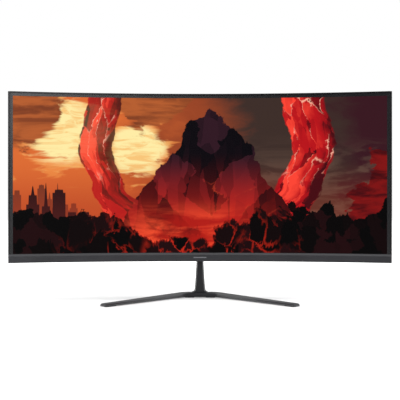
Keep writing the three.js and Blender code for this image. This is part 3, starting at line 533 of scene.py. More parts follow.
def paint_mountain(net, picture):
    """A mountain in the middle, dark above and lit red from below."""
    u, v, wide = net.u, net.v, net.wide
    crags = net.noise(net.vector(wide, net.mul(v, 0.8)), 4.2, 9.0, 0.60, 0.3)
    slope = net.math("ABSOLUTE", net.sub(u, 0.53))
    height = net.sub(0.97, net.math("POWER", net.mul(slope, 3.3), 1.12))
    height = net.add(height, net.mul(net.sub(crags, 0.5), 0.40))
    lean = net.add(net.mul(slope, 9.0), net.mul(crags, 2.2))
    slab_y = net.sub(net.mul(v, 4.5), net.mul(slope, 6.0))
    random, edge = net.facets(net.vector(lean, slab_y, 5.0))
    chip_y = net.mul(net.add(v, net.mul(crags, 0.4)), 5.0)
    chips, _ = net.facets(net.vector(net.mul(wide, 17.0), chip_y, 2.0))
    tone = net.add(net.mul(random, 0.55), net.mul(chips, 0.45))
    rock = net.mix(net.ramp(tone, 0.25, 0.8), *PEAK_COLOURS)
    under = net.mul(net.ramp(v, 0.66, 0.14), net.ramp(tone, -0.1, 1.1))
    rock = net.mix(under, rock, PEAK_FOOT)
    crack = net.mul(net.ramp(edge, 0.03, 0.0), net.ramp(crags, 0.50, 0.66))
    rock = net.mix(net.mul(crack, net.ramp(v, 0.60, 0.30, 0.0, 0.55)), rock, PEAK_CRACK)
    return net.mix(net.ramp(net.sub(height, v), 0.0, 0.010), picture, rock)


def paint_towers(net, picture, count, tallest, seed, colour):
    """Towers far off on the left: each has a body, and some a spire."""
    place = net.mul(net.u, count)
    cell = net.math("FLOOR", place)
    across_cell = net.math("ABSOLUTE", net.sub(net.sub(place, cell), 0.5))

    def random(offset):
        inputs = {"W": net.add(cell, seed + offset)}
        return net.node("ShaderNodeTexWhiteNoise", inputs, noise_dimensions="1D").outputs["Value"]

    point = net.ramp(across_cell, 0.16, 0.0, 0.0, 0.22)
    spire = net.mul(net.math("POWER", random(0.37), 3.0), point)
    shoulder = net.mul(random(0.71), net.ramp(across_cell, 0.30, 0.34, 0.0, -0.08))
    top = net.add(net.mul(random(0.0), tallest), net.add(spire, shoulder))
    fade = net.ramp(net.mul(cell, 1 / count), 0.30, 0.10)
    top = net.mul(net.add(top, 0.20), fade)
    return net.mix(net.ramp(net.sub(top, net.v), 0.0, 0.008), picture, colour)


def paint_smoke(net, picture):
    """Red smoke low on the right."""
    smoke = net.add(net.ramp(net.u, 0.80, 1.0, -0.05, 0.52), net.mul(net.sub(net.banks, 0.5), 0.9))
    edge = net.ramp(net.sub(smoke, net.sub(net.v, 0.10)), 0.0, 0.025)
    red = net.mix(net.ramp(net.streaks, 0.36, 0.62), *SMOKE_COLOURS)
    return net.mix(net.mul(edge, net.ramp(net.u, 0.78, 0.86)), picture, red)


def paint_ground(net, picture):
    """Firelight over the ground, and black rocks in front of it."""
    u, v, wide = net.u, net.v, net.wide
    fire = net.mul(net.blob(0.45, 0.10, 0.34, 0.34), net.ramp(net.banks, 0.30, 0.52))
    fire_colour = net.mix(net.ramp(net.streaks, 0.40, 0.62), *FIRE_COLOURS)
    picture = net.mix(net.mul(fire, net.ramp(v, 0.40, 0.20)), picture, fire_colour)
    jag = net.noise(net.vector(net.mul(wide, 1.3), net.mul(v, 0.9)), 4.0, 8.0, 0.60, 0.4)
    valley = net.ramp(net.math("ABSOLUTE", net.sub(u, 0.44)), 0.02, 0.24, 0.03, 0.23)
    ridge = net.sub(net.add(valley, net.mul(net.sub(jag, 0.42), 0.50)), v)
    slab_y = net.add(net.mul(v, 7.0), net.mul(jag, 4.0))
    random, edge = net.facets(net.vector(net.mul(wide, 8.0), slab_y, 8.0))
    stone = net.mix(net.ramp(random, 0.3, 1.0), *STONE_COLOURS)
    near_fire = net.blob(0.48, 0.05, 0.42, 0.34)
    glint = net.mul(net.ramp(edge, 0.06, 0.0), net.mul(near_fire, net.ramp(jag, 0.44, 0.60)))
    stone = net.mix(glint, stone, STONE_GLINT)
    rim = net.mul(net.ramp(ridge, 0.022, 0.0), near_fire)
    stone = net.mix(rim, stone, STONE_RIM)
    return net.mix(net.ramp(ridge, 0.0, 0.008), picture, stone)


def screen_picture():
    """A made-up landscape at dusk: lit clouds, a dark mountain and two pillars of red rock."""
    net = Picture()
    picture = paint_sky(net)
    for number in range(len(PILLARS)):
        picture = paint_pillar(net, picture, number)
    picture = paint_mountain(net, picture)
    far = net.mix(net.ramp(net.v, 0.52, 0.22), *FAR_TOWERS)
    near = net.mix(net.ramp(net.v, 0.50, 0.16), *NEAR_TOWERS)
    picture = paint_towers(net, picture, 47.0, 0.26, 3.0, far)
    picture = paint_towers(net, picture, 29.0, 0.22, 12.0, near)
    picture = paint_smoke(net, picture)
    picture = paint_ground(net, picture)

    net.join((0.001, 0.001, 0.001, 1.0), net.shader.inputs["Base Color"])
    net.join(picture, net.shader.inputs["Emission Color"])
    net.shader.inputs["Emission Strength"].default_value = 1.0
    net.shader.inputs["Specular IOR Level"].default_value = 0.02
    grain = net.noise(net.vector(net.wide, net.v), 900.0, 1.0)
    net.join(net.ramp(grain, 0.2, 0.8, 0.30, 0.38), net.shader.inputs["Roughness"])
    return net.material


# ---- Front: glass, rim and chin ----
CORNER_RADIUS = 3.5
CORNER_STOPS = (0, 0.7, 1.4, 2.1, 2.8, CORNER_RADIUS)


def round_corner(x, z, half, low, high, radius):
    """Moves a point of a rectangle so that the rectangle's corners become round."""
    centre_z = (low + high) / 2
    up = (high - low) / 2
    dx, dz = abs(x) - (half - radius), abs(z - centre_z) - (up - radius)
    if dx <= 0 or dz <= 0 or dx > radius or dz > radius:
        return x, z
    nx = dx * math.sqrt(1 - (dz / radius) ** 2 / 2)
    nz = dz * math.sqrt(1 - (dx / radius) ** 2 / 2)
    return (
        math.copysign(half - radius + nx, x),
        centre_z + math.copysign(up - radius + nz, z - centre_z),
    )


def curve_grid(name, angles, depths, zs, filled):
    return grid_solid(name, angles, depths, zs, filled, on_curve)


def make_screen():
    active_top = ACTIVE_BOTTOM + ACTIVE_HEIGHT
    step = 2 * RIM_ANGLE / CURVE_STEPS
    angles = spread([-GLASS_ANGLE, -ACTIVE_ANGLE, ACTIVE_ANGLE, GLASS_ANGLE], step)
    zs = spread([GLASS_LOW.z, ACTIVE_BOTTOM, active_top, GLASS_HIGH.z], 60)
    piece = curve_grid("screen", angles, [0, GLASS_THICKNESS], zs, lambda a, d, z: True)
    mesh = piece.data
    mesh.materials.append(MATERIALS["screen_glass"])
    mesh.materials.append(screen_picture())
    uv = mesh.uv_layers.new(name="picture")
    for face in mesh.polygons:
        middle = face.center / MM
        angle = math.atan2(middle.x, middle.y - GLASS_Y + CURVE_RADIUS)
        in_front = face.normal.y < -0.5
        lit = abs(angle) < ACTIVE_ANGLE and ACTIVE_BOTTOM < middle.z < active_top
        face.material_index = 1 if in_front and lit else 0
        for loop in face.loop_indices:
            point = mesh.vertices[mesh.loops[loop].vertex_index].co / MM
            turn_to = math.atan2(point.x, point.y - GLASS_Y + CURVE_RADIUS)
            uv.data[loop].uv = (
                turn_to / (2 * ACTIVE_ANGLE) + 0.5,
                (point.z - ACTIVE_BOTTOM) / ACTIVE_HEIGHT,
            )
    dress(piece, "lcd_panel", None, 0.15, 1)


def make_rim():
    step = 2 * RIM_ANGLE / CURVE_STEPS
    inner_top = RIM_HIGH.z - RIM_FACE - GAP
    chin_space_top = CHIN_HIGH.z + GAP
    half = RIM_ANGLE * CURVE_RADIUS
    corner = [(half - inset) / CURVE_RADIUS for inset in CORNER_STOPS]
    angles = spread([-RIM_INNER_ANGLE, RIM_INNER_ANGLE, *corner, *[-a for a in corner]], step)
    zs = [RIM_LOW.z, RIM_BAR_TOP, chin_space_top, inner_top]
    zs = spread(zs + [RIM_HIGH.z - inset for inset in CORNER_STOPS], 60)

    def filled(angle, depth, z):
        in_window = abs(angle) < RIM_INNER_ANGLE and RIM_BAR_TOP < z < inner_top
        in_chin = z < chin_space_top and depth < RIM_DEPTHS[1]
        return not in_window and not in_chin

    def place(angle, depth, z):
        low = 2 * RIM_LOW.z - RIM_HIGH.z  # keeps the rounding to the two upper corners
        x, z = round_corner(angle * CURVE_RADIUS, z, half, low, RIM_HIGH.z, CORNER_RADIUS)
        return on_curve(x / CURVE_RADIUS, depth, z)

    piece = grid_solid("rim", angles, RIM_DEPTHS, zs, filled, place)
    dress(piece, "front_bezel", MATERIALS["rim_plastic"], 0.45, 3)


def make_chin():
    rear = RIM_DEPTHS[2]
    bottom, lip_top = CHIN_LOW.z, CHIN_HIGH.z
    wall_top = bottom + CHIN_WALL
    lip_front, lip_rear = LIP_DEPTHS
    section = [
        (rear, bottom), (CHIN_FRONT + CHIN_CHAMFER, bottom), (CHIN_FRONT, bottom + CHIN_CHAMFER),
        (CHIN_FRONT, lip_top - LIP_HEIGHT), (lip_front, lip_top), (lip_rear, lip_top),
        (lip_rear, wall_top), (rear, wall_top),
    ]
    angles = np.linspace(-RIM_ANGLE, RIM_ANGLE, CURVE_STEPS + 1)
    piece = sweep("chin", section, angles)
    lens_low, lens_high = box_mm("status_light_lens")
    middle = (lens_low + lens_high) / 2
    angle = math.atan2(middle.x, middle.y - GLASS_Y + CURVE_RADIUS)
    across = Vector((math.cos(angle), -math.sin(angle), 0))
    half_x, half_y, half_z = LENS_SLOT
    corners = ((-half_x, -half_y), (half_x, -half_y), (half_x, half_y), (-half_x, half_y))
    slot = skin("cutter", [
        [middle + across * x + Vector((0, y, z)) for x, y in corners] for z in (-half_z, half_z)
    ])
    cut(piece, [slot])
    dress(piece, "chin_trim", MATERIALS["charcoal_plastic"], 0.35, 3)
    for side in (-1, 1):
        ends = sorted((side * RIM_ANGLE, side * RIM_INNER_ANGLE))
        corner = curve_grid(
            f"chin_return_{'left' if side < 0 else 'right'}", ends, [lip_rear, RIM_DEPTHS[1] - GAP],
            [wall_top, lip_top], lambda a, d, z: True,
        )
        dress(corner, "chin_trim", MATERIALS["charcoal_plastic"], 0.2, 2)


def make_badge():
    low, high = box_mm("chin_badge")
    half = high.x / CURVE_RADIUS
    angles = np.linspace(-half, half, 9)
    piece = curve_grid(
        "badge", angles, [CHIN_FRONT - BADGE_PROUD, CHIN_FRONT - GAP], [low.z, high.z],
        lambda a, d, z: True,
    )
    dress(piece, "chin_badge", MATERIALS["silver_ink"], 0.15, 2)


# ---- Rear cover ----
HOUSING_REAR = COVER_HIGH.y - GLASS_Y
HOUSING_FLAT = 24.0  # from here back, the housing is drawn on flat planes
HOUSING_BOTTOM = 125.0
# Depth, half width and top of the housing.
HOUSING_RINGS = ((4.0, 216.0, 340.0), (30.0, 211.0, 332.0), (66.0, 196.0, 314.0))
HOUSING_CORNER = 16.0
HOUSING_EDGE = 4.0
RECESS_HALF_WIDTH = 42.0
RECESS_TOP = 218.0
RECESS_FLOOR = 36.0
VENT_COUNT = 18
VENT_PITCH = 16.0
VENT_HALF_WIDTH = 3.0
VENT_DEPTHS = (33.0, 57.0)
COVER_HALF_ARC = RIM_ANGLE * CURVE_RADIUS - 0.8
EDGE_ROUND = 11.2
EDGE_REACH = 60.0  # how far in from the outline the cover's rounded edge is felt
TAPER_X = 160.0  # the housing tapers from this far out
TAPER_Z = 230.0  # and from this high up
BOTTOM_REACH = 12.0  # how far above its bottom the housing's rounded rear edge is felt
LABEL_X = (92.0, 164.0)
LABEL_Z = (196.0, 236.0)
LABEL_FLOOR = HOUSING_REAR - 1.0
LABEL_MARGIN = 1.5  # between the label and its recess
LABEL_CORNER = 4.0
LABEL_THICKNESS = 0.3
SLOT_COUNT = 12  # in front of each speaker
SLOT_PITCH = 4.6
SLOT_ROW_X = 262.0
SLOT_HALF = 1.0
SLOT_Z = (103.0, 117.0)
SLOT_MIDDLES = [
    side * (SLOT_ROW_X + (i - (SLOT_COUNT - 1) / 2) * SLOT_PITCH)
    for side in (-1, 1) for i in range(SLOT_COUNT)
]
MOUNT_Z = 240.0  # middle of the four wall-mount holes
MOUNT_HALF_PITCH = 50.0
PORT_MARGIN = 0.5


def port_holes():
    """Low x, high x, low y and high y of each socket's hole in the housing's bottom wall."""
    m = PORT_MARGIN
    for node in ("hdmi_socket_1", "hdmi_socket_2", "displayport_socket", "audio_jack", "power_inlet"):
        low, high = box_mm(node)
        yield low.x - m, high.x + m, low.y - GLASS_Y - m, high.y - GLASS_Y + m


def housing_outline(y):
    """Half width and top of the housing at a depth."""
    depths, widths, tops = zip(*HOUSING_RINGS)
    half, top = np.interp(y, depths, widths), np.interp(y, depths, tops)
    into = max(0.0, y - (HOUSING_REAR - HOUSING_EDGE))
    inset = HOUSING_EDGE - math.sqrt(max(0.0, HOUSING_EDGE**2 - into**2))
    return half - inset, top - inset, inset


def cover_point(x, w, z):
    """Where a corner of the cover's grid lies. x runs along the curve, and w is the depth."""
    base_half, base_top = HOUSING_RINGS[0][1:]
    depth = min(w, COVER_DEPTH)
    round_off = (depth - COVER_EDGE) / (COVER_DEPTH - COVER_EDGE)
    inset = EDGE_ROUND * (1 - math.sqrt(max(0.0, 1 - round_off**2)))
    side_pull = max(0.0, 1 - (COVER_HALF_ARC - abs(x)) / EDGE_REACH)
    low, high = COVER_LOW.z, COVER_HIGH.z
    top_pull = max(0.0, 1 - (high - z) / EDGE_REACH)
    bottom_pull = max(0.0, 1 - (z - low) / EDGE_REACH) if z < HOUSING_BOTTOM - 2 else 0.0
    x -= math.copysign(inset * side_pull, x)
    z += inset * (bottom_pull - top_pull)
    if w < COVER_DEPTH - COVER_WALL:
        x, z = round_corner(x, z, COVER_HALF_ARC, low, high, CORNER_RADIUS)
    x, z = round_corner(x, z, base_half, HOUSING_BOTTOM, base_top, HOUSING_CORNER)
    skin_point = on_curve(x / CURVE_RADIUS, depth, z)
    if w <= COVER_DEPTH:
        return skin_point
    y = max(w, HOUSING_FLAT)
    half, top, rear_inset = housing_outline(y)
    side_share = min(1.0, max(0.0, (abs(x) - TAPER_X) / (base_half - TAPER_X)))
    top_share = min(1.0, max(0.0, (z - TAPER_Z) / (base_top - TAPER_Z)))
    bottom_share = max(0.0, 1 - (z - HOUSING_BOTTOM) / BOTTOM_REACH)
    moved_x = x - math.copysign((base_half - half) * side_share, x)
    moved_z = z - (base_top - top) * top_share + rear_inset * bottom_share
    return Vector((moved_x, y + GLASS_Y, moved_z))


def make_cover():
    base_half, base_top = HOUSING_RINGS[0][1:]
    inner_half, inner_top = base_half - COVER_WALL, base_top - COVER_WALL
    inner_bottom = HOUSING_BOTTOM + COVER_WALL
    low, high = COVER_LOW.z, COVER_HIGH.z
    ports = list(port_holes())
    vent_middles = [(i - (VENT_COUNT - 1) / 2) * VENT_PITCH for i in range(VENT_COUNT)]
    recess_wall = RECESS_HALF_WIDTH + COVER_WALL
    skin_front = COVER_DEPTH - COVER_WALL
    back_front = HOUSING_REAR - COVER_WALL

    # Where the grid has to have a line: the walls, the openings and the rounded edges.
    edge_steps = (0, COVER_WALL, 8, 18)
    corner_steps = (0, 5, 10, HOUSING_CORNER)
    x_stops = [0, RECESS_HALF_WIDTH, recess_wall, inner_half]
    x_stops += [COVER_HALF_ARC - step for step in edge_steps]
    x_stops += [base_half - step for step in corner_steps]
    x_stops += [-x for x in x_stops]
    x_stops += [x for port in ports for x in port[:2]]
    x_stops += [m + s * VENT_HALF_WIDTH for m in vent_middles for s in (-1, 1)]
    x_stops += [*LABEL_X, *[m + s * SLOT_HALF for m in SLOT_MIDDLES for s in (-1, 1)]]
    z_stops = [inner_bottom, RECESS_TOP, RECESS_TOP + COVER_WALL, inner_top, *LABEL_Z, *SLOT_Z]
    z_stops += [low + step for step in edge_steps] + [high - step for step in edge_steps]
    z_stops += [HOUSING_BOTTOM + step for step in corner_steps]
    z_stops += [base_top - step for step in corner_steps]
    w_stops = [COVER_EDGE, 11.5, 13.7, 15.8, 17.8, skin_front, 20.8, COVER_DEPTH, HOUSING_FLAT]
    w_stops += [RECESS_FLOOR - COVER_WALL, RECESS_FLOOR, *VENT_DEPTHS, HOUSING_REAR - HOUSING_EDGE]
    w_stops += [back_front, LABEL_FLOOR, HOUSING_REAR]
    w_stops += [w for port in ports for w in port[2:]]

    def filled(x, w, z):
        in_housing = abs(x) < base_half and HOUSING_BOTTOM < z < base_top
        in_hollow = abs(x) < inner_half and inner_bottom < z < inner_top
        if w < skin_front:
            outside = abs(x) > COVER_HALF_ARC - COVER_WALL
            return outside or not low + COVER_WALL < z < high - COVER_WALL
        if w < COVER_DEPTH:
            in_slot = SLOT_Z[0] < z < SLOT_Z[1] and any(abs(x - m) < SLOT_HALF for m in SLOT_MIDDLES)
            return not in_hollow and not in_slot
        if not in_housing:
            return False
        if z < RECESS_TOP + COVER_WALL and abs(x) < recess_wall and w > RECESS_FLOOR - COVER_WALL:
            in_recess = abs(x) < RECESS_HALF_WIDTH and z < RECESS_TOP and w > RECESS_FLOOR
            return not in_recess
        if w > LABEL_FLOOR and LABEL_X[0] < x < LABEL_X[1] and LABEL_Z[0] < z < LABEL_Z[1]:
            return False
        if z > inner_top and VENT_DEPTHS[0] < w < VENT_DEPTHS[1]:
            return all(abs(x - m) > VENT_HALF_WIDTH for m in vent_middles)
        if z < inner_bottom and any(a < x < b and c < w < d for a, b, c, d in ports):
            return False
        return not in_hollow or w > back_front

    piece = grid_solid("rear_cover_shell", spread(x_stops, 11), spread(w_stops, 12),
                       spread(z_stops, 14), filled, cover_point)
    cut(piece, cover_holes())
    dress(piece, "rear_cover", MATERIALS["cover_plastic"], 0.45, 2, 40)
    make_label()


def make_label():
    """A blank label in the shallow recess on the cover's back."""
    xs, zs = (
        [low + LABEL_MARGIN, low + LABEL_CORNER, high - LABEL_CORNER, high - LABEL_MARGIN]
        for low, high in (LABEL_X, LABEL_Z)
    )
    outline = [
        (xs[1], zs[0]), (xs[2], zs[0]), (xs[3], zs[1]), (xs[3], zs[2]),
        (xs[2], zs[3]), (xs[1], zs[3]), (xs[0], zs[2]), (xs[0], zs[1]),
    ]
    front = GLASS_Y + LABEL_FLOOR + 0.05
    ys = (front, front + LABEL_THICKNESS)
    piece = skin("blank_label", [[Vector((x, y, z)) for x, z in outline] for y in ys])
    piece.data.materials.append(MATERIALS["label_foil"])
    soften(piece, 0.1, 1)
    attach(piece, "head")


def cover_holes():
    """Cutters for the round holes: wall mount, cover screws, hinge screws and controls."""
    rear = COVER_HIGH.y
    holes = []

    def hole(x, z, front, back, radius, steps=24):
        holes.append(cylinder((x, front, z), (x, back, z), radius, steps))

    def screw_place(node):
        low, high = box_mm(node)
        return (low.x + high.x) / 2, (low.z + high.z) / 2

    for sx in (-1, 1):
        for sz in (-1, 1):
            x, z = sx * MOUNT_HALF_PITCH, MOUNT_Z + sz * MOUNT_HALF_PITCH
            hole(x, z, rear - 16, rear + 2, 2.1)
            hole(x, z, rear - 0.5, rear + 2, 3.4)
    for i in range(1, 5):
        x, z = screw_place(f"cover_screw_{i}")
        hole(x, z, rear - 6, rear + 1, 2.2)
        hole(x, z, rear - 1.5, rear + 1, 4.6, 32)
        x, z = screw_place(f"hinge_screw_{i}")
        hole(x, z, GLASS_Y + 30, GLASS_Y + 40, 2.3)
    for node, radius in (("joystick_cap", 5.6), ("power_button", 4.5)):
        middle, out = control_axis(node)
        holes.append(cylinder(middle - out * 14, middle + out * 14, radius, 40))
    return holes


# ---- Controls on the back ----
def control_axis(node):
    """The middle of a control on the back, and the way it points."""
    low, high = box_mm(node)
    middle = (low + high) / 2
    housing_low, housing_high = box_mm("joystick_housing")
    anchor = (housing_low + housing_high) / 2
    angle = math.atan2(anchor.x, anchor.y - GLASS_Y + CURVE_RADIUS)
    return middle, Vector((math.sin(angle), math.cos(angle), 0))


def make_controls():
    middle, out = control_axis("joystick_cap")
    profile = [
        (0, -0.4), (1.6, -0.4), (1.6, -4.8), (3, -4.8), (3, 1.2), (4.6, 1.3), (6.3, 1.5), (6.9, 2.0),
        (7, 2.6), (6.9, 3.4), (6.5, 4.1), (5.9, 4.5), (4.8, 4.3), (3.2, 3.7), (1.6, 3.45), (0, 3.4),
    ]
    piece = turn("joystick_top", [(r, along + 0.3) for r, along in profile], middle, out, 64)
    dress(piece, "joystick_cap", MATERIALS["black_plastic"], 0)
    middle, out = control_axis("power_button")
    profile = [
        (0, -4.05), (1.5, -4.05), (1.5, -1.95), (5.3, -1.95), (5.3, -0.8), (4, -0.8), (4, 3.3),
        (3.8, 3.75), (3.3, 3.95), (2.4, 3.85), (0, 3.6),
    ]
    piece = turn("power_button_top", profile, middle, out, 48)
    dress(piece, "power_button", MATERIALS["black_plastic"], 0.1)


# ---- Neck ----
NECK_SPLIT = 58.0
NECK_CHAMFER = 3.0
BAR_HALF = 3.5
BAR_DEPTHS = (48.6, 59.4)
FOOT_DEPTHS = (50.0, 66.0)
FOOT_TOP = 13.4
CORE_CLEARANCE = 0.4
# Height, half width, front and rear of the neck's outside.
NECK_SECTIONS = (
    (11.7, 18.0, 46.2, 70.4), (13.2, 14.7, 46.0, 70.0), (15.6, 12.6, 45.7, 69.4),
    (20.0, 11.6, 45.5, 69.0), (30.0, 10.8, 45.2, 68.3), (45.0, 9.8, 44.9, 67.3),
    (60.0, 9.1, 44.6, 66.2), (73.0, 8.3, 44.4, 65.4), (85.0, 7.9, 44.3, 64.8),
    (110.0, 7.6, 44.0, 64.0), (140.0, 8.0, 43.8, 63.0), (158.0, 9.0, 43.8, 62.4),
)
FLARE_HEIGHTS = [12.4, 14.3, 17.6]  # more steps where the neck flares into the hub


def neck_size(z):
    """Half width, front and rear of the neck at a height."""
    heights, halves, fronts, rears = zip(*NECK_SECTIONS)
    return [float(np.interp(z, heights, values)) for values in (halves, fronts, rears)]


def neck_rings(front_part):
    heights = spread([s[0] for s in NECK_SECTIONS] + FLARE_HEIGHTS, 5)
    c = NECK_CHAMFER
    for z in heights:
        half, front, rear = neck_size(z)
        if front_part:
            outline = [(-half, NECK_SPLIT), (-half, front + c), (c - half, front)]
        else:
            split = NECK_SPLIT + GAP
            outline = [(-half, split), (-half, rear - c), (c - half, rear)]
        outline += [(-x, y) for x, y in reversed(outline)]
        yield [Vector((x, y + GLASS_Y, z)) for x, y in outline]


def block(low, high):
    """A plain block to cut with."""
    corners = [(low[0], low[1]), (high[0], low[1]), (high[0], high[1]), (low[0], high[1])]
    return skin("cutter", [[Vector((x, y, z)) for x, y in corners] for z in (low[2], high[2])])


def neck_hollow():
    """Cutters for the room that the steel bar and its foot take."""
    core_low, core_high = box_mm("neck_core")
    m = CORE_CLEARANCE
    bar = block(
        (-BAR_HALF - m, GLASS_Y + BAR_DEPTHS[0] - m, 0),
        (BAR_HALF + m, GLASS_Y + BAR_DEPTHS[1] + m, core_high.z + 20),
    )
    foot = block(
        (core_low.x - m, GLASS_Y + FOOT_DEPTHS[0] - m, 0),
        (core_high.x + m, GLASS_Y + FOOT_DEPTHS[1] + m, FOOT_TOP + m),
    )
    return [bar, foot]


def make_neck():
    for name, node, front_part in (
        ("neck_front", "neck_front_cover", True), ("neck_rear", "neck_rear_cover", False),
    ):
        piece = skin(name, list(neck_rings(front_part)))
        cut(piece, neck_hollow())
        dress(piece, node, MATERIALS["neck_plastic"], 0.5, 3, 28)


# ---- Base ----
LEG_ANGLE = math.radians(48.66)
LEG_LENGTH = 241.0
HUB_CORNER_X = 37.9
HUB_MIDDLE = 58.3
HUB_HALF = 12.3
BEND_RADIUS = 26.0
BEND_STEPS = 12
BASE_BOTTOM = 1.6
HUB_TOP = 11.4
HUB_STATIONS = ((0, 0.5), (15, 0.5), (19.5, 1.8), (24, 3.0))  # place and front chamfer
LEG_START_TOP = 10.6
LEG_START_HALF = 10.5
TIP_TOP = 7.0
TIP_HALF = 9.4
TOP_CHAMFER = 3.0
LEG_SLOPE = 2.4
TIP_SLOPE = 1.2
# How far along the leg, and how much narrower there to round the tip.
LEG_STATIONS = ((0.3, 0), (0.6, 0), (0.8, 0), (0.982, 0), (0.993, 0.5), (1.0, 1.6))
SCREW_HOLE_TOP = 3.6
SCREW_HOLE_RADIUS = 7.6


def base_stations():
    """Place, direction, half width, top, front chamfer and how far the top slopes down to the
    front, along the base's right half."""
    dx, dy = math.cos(LEG_ANGLE), -math.sin(LEG_ANGLE)
    stations = [
        (x, HUB_MIDDLE, 0, HUB_HALF, HUB_TOP, chamfer, 0)
        for x, chamfer in HUB_STATIONS
    ]
    tangent = BEND_RADIUS * math.tan(LEG_ANGLE / 2)
    for i in range(BEND_STEPS + 1):
        share = i / BEND_STEPS
        angle = share * LEG_ANGLE
        x = HUB_CORNER_X - tangent + BEND_RADIUS * math.sin(angle)
        y = HUB_MIDDLE - BEND_RADIUS * (1 - math.cos(angle))
        top = HUB_TOP - share * (HUB_TOP - LEG_START_TOP)
        half = HUB_HALF - share * (HUB_HALF - LEG_START_HALF)
        stations.append((x, y, angle, half, top, TOP_CHAMFER, share * LEG_SLOPE))
    for share, narrower in LEG_STATIONS:
        x, y = HUB_CORNER_X + dx * LEG_LENGTH * share, HUB_MIDDLE + dy * LEG_LENGTH * share
        half = LEG_START_HALF - share * (LEG_START_HALF - TIP_HALF) - narrower
        top = LEG_START_TOP - share * (LEG_START_TOP - TIP_TOP) - narrower / 2
        slope = LEG_SLOPE - share * (LEG_SLOPE - TIP_SLOPE)
        stations.append((x, y, LEG_ANGLE, half, top, TOP_CHAMFER, slope))
    return stations


def base_ring(station, side):
    x, y, angle, half, top, chamfer, slope = station
    drop = chamfer * 2 / 3
    outline = [
        (-half, BASE_BOTTOM), (half, BASE_BOTTOM), (half, top - 2), (half - TOP_CHAMFER, top),
        (chamfer - half, top - slope), (-half, top - slope - drop),
    ]
    return [
        Vector((side * (x + across * math.sin(angle)), y + across * math.cos(angle) + GLASS_Y, z))
        for across, z in outline
    ]


def make_base():
    right = base_stations()
    rings = [base_ring(s, -1) for s in reversed(right[1:])] + [base_ring(s, 1) for s in right]
    piece = skin("base", rings)
    middle = HUB_MIDDLE + GLASS_Y
    cut(piece, [cylinder((0, middle, 0), (0, middle, SCREW_HOLE_TOP), SCREW_HOLE_RADIUS, 48)])
    dress(piece, "stand_base", MATERIALS["base_paint"], 0.6, 3, 20)


# ---- CAD nodes that stay ----
def dress_cad_nodes():
    for name, node in frame["nodes"].items():
        if node.hide_render:
            continue
        node.data.materials.clear()
        node.data.materials.append(MATERIALS[SLOT_OF[name]])
        weld = node.modifiers.new("weld", "WELD")
        weld.merge_threshold = 0.00001
        soften(node, 0.25, 2)


# ---- Stage, lights and camera ----
CAMERA_DISTANCE = 1.989  # metres in front of the glass
CAMERA_HEIGHT = 0.229
LENS = 82.79
SHIFT_Y = -0.0144
FLOOR_HALF = 6000
FLOOR_GLOW_CENTRE = (-0.5, -1.2, 0)  # the floor glows more the further it is from here
# Name, place, target, width, height and brightness, in metres.
SOFTBOXES = (
    ("top_box", (0, -0.45, 2.4), (0, -0.1, 0), 2.4, 2.2, 4.2),
    ("left_box", (-1.9, -0.2, 0.6), (0, 0, 0.2), 1.4, 1.4, 5.5),
    ("right_box", (1.9, -0.2, 0.6), (0, 0, 0.2), 1.4, 1.4, 3.5),
    ("left_strip", (-1.4, 0.2, 0.15), (0, 0.08, 0.05), 0.5, 0.28, 24.0),
    ("right_strip", (1.4, 0.2, 0.15), (0, 0.08, 0.05), 0.5, 0.28, 24.0),
    ("front_right_box", (0.95, -2.4, 1.15), (-0.2, 0, 0.5), 1.3, 1.4, 8.0),
    ("rear_box", (0, 2.2, 2.2), (0, 0, 0.2), 3.4, 1.2, 1.2),
)


def make_stage():
    h = FLOOR_HALF
    floor = add_object("floor", [(-h, -h, 0), (h, -h, 0), (h, h, 0), (-h, h, 0)], [[0, 1, 2, 3]])
    net = Net("floor_paper")
    here = net.here()
    cloud = net.noise(here, 3.0)
    net.join(net.mix(cloud, (0.53, 0.53, 0.53), (0.55, 0.55, 0.55)), net.shader.inputs["Base Color"])
    net.shader.inputs["Roughness"].default_value = 0.9
    net.shader.inputs["Specular IOR Level"].default_value = 0.0
    net.shader.inputs["Emission Color"].default_value = (1, 1, 1, 1)
    away = net.node("ShaderNodeVectorMath", {0: here, 1: FLOOR_GLOW_CENTRE}, operation="DISTANCE")
    glow = net.ramp(away.outputs["Value"], 1.1, 2.4, 0.10, 1.0)
    net.join(glow, net.shader.inputs["Emission Strength"])
    floor.data.materials.append(net.material)
    floor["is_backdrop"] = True


def softbox(name, place, target, width, height, brightness):
    """A rectangle of light. brightness is its radiance, where white paper in full light is 1."""
    data = bpy.data.lights.new(name, "AREA")
    data.shape = "RECTANGLE"
    data.size, data.size_y = width, height
    data.energy = brightness * math.pi * width * height
    light = bpy.data.objects.new(name, data)
    bpy.context.scene.collection.objects.link(light)
    light.location = place
    light.rotation_euler = (Vector(target) - Vector(place)).to_track_quat("-Z", "Y").to_euler()


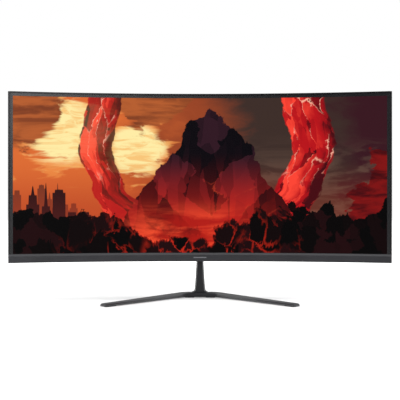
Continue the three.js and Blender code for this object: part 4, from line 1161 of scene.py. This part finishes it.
def make_lights():
    """A white room, dim towards the camera and at the horizon, with large soft lights."""
    world = bpy.data.worlds.new("studio")
    bpy.context.scene.world = world
    world.use_nodes = True
    tree = world.node_tree

    def ramp(value, low, high, start, end):
        node = tree.nodes.new("ShaderNodeMapRange")
        node.interpolation_type = "SMOOTHSTEP"
        tree.links.new(value, node.inputs["Value"])
        for key, number in zip(("From Min", "From Max", "To Min", "To Max"), (low, high, start, end)):
            node.inputs[key].default_value = number
        return node.outputs["Result"]

    way = tree.nodes.new("ShaderNodeSeparateXYZ")
    tree.links.new(tree.nodes.new("ShaderNodeTexCoord").outputs["Generated"], way.inputs[0])
    level = tree.nodes.new("ShaderNodeMath")
    level.operation = "MULTIPLY"
    tree.links.new(ramp(way.outputs[1], -0.95, 0.3, 0.05, 1.0), level.inputs[0])
    tree.links.new(ramp(way.outputs[2], 0.05, 0.7, 0.25, 0.9), level.inputs[1])
    shown = tree.nodes["Background"]
    shown.inputs["Color"].default_value = (1, 1, 1, 1)
    shown.inputs["Strength"].default_value = 1.0
    fill = tree.nodes.new("ShaderNodeBackground")
    fill.inputs["Color"].default_value = (1, 1, 1, 1)
    tree.links.new(level.outputs[0], fill.inputs["Strength"])
    path = tree.nodes.new("ShaderNodeLightPath")
    choose = tree.nodes.new("ShaderNodeMixShader")
    tree.links.new(path.outputs["Is Camera Ray"], choose.inputs[0])
    tree.links.new(fill.outputs[0], choose.inputs[1])
    tree.links.new(shown.outputs[0], choose.inputs[2])
    tree.links.new(choose.outputs[0], tree.nodes["World Output"].inputs["Surface"])
    for box in SOFTBOXES:
        softbox(*box)


def make_camera():
    data = bpy.data.cameras.new("camera")
    data.sensor_width = 36.0
    data.lens = LENS
    data.shift_y = SHIFT_Y
    camera = bpy.data.objects.new("camera", data)
    bpy.context.scene.collection.objects.link(camera)
    camera.location = (0, GLASS_Y * MM - CAMERA_DISTANCE, CAMERA_HEIGHT)
    camera.rotation_euler = (math.pi / 2, 0, 0)
    bpy.context.scene.camera = camera
    bpy.context.scene.view_settings.view_transform = "Standard"


make_screen()
make_rim()
make_chin()
make_badge()
make_cover()
make_controls()
make_neck()
make_base()
dress_cad_nodes()
make_stage()
make_lights()
make_camera()

boxes = {"cad": CAD_BOX, "visual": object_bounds()}
{name: [list(corner) for corner in box] for name, box in boxes.items()}
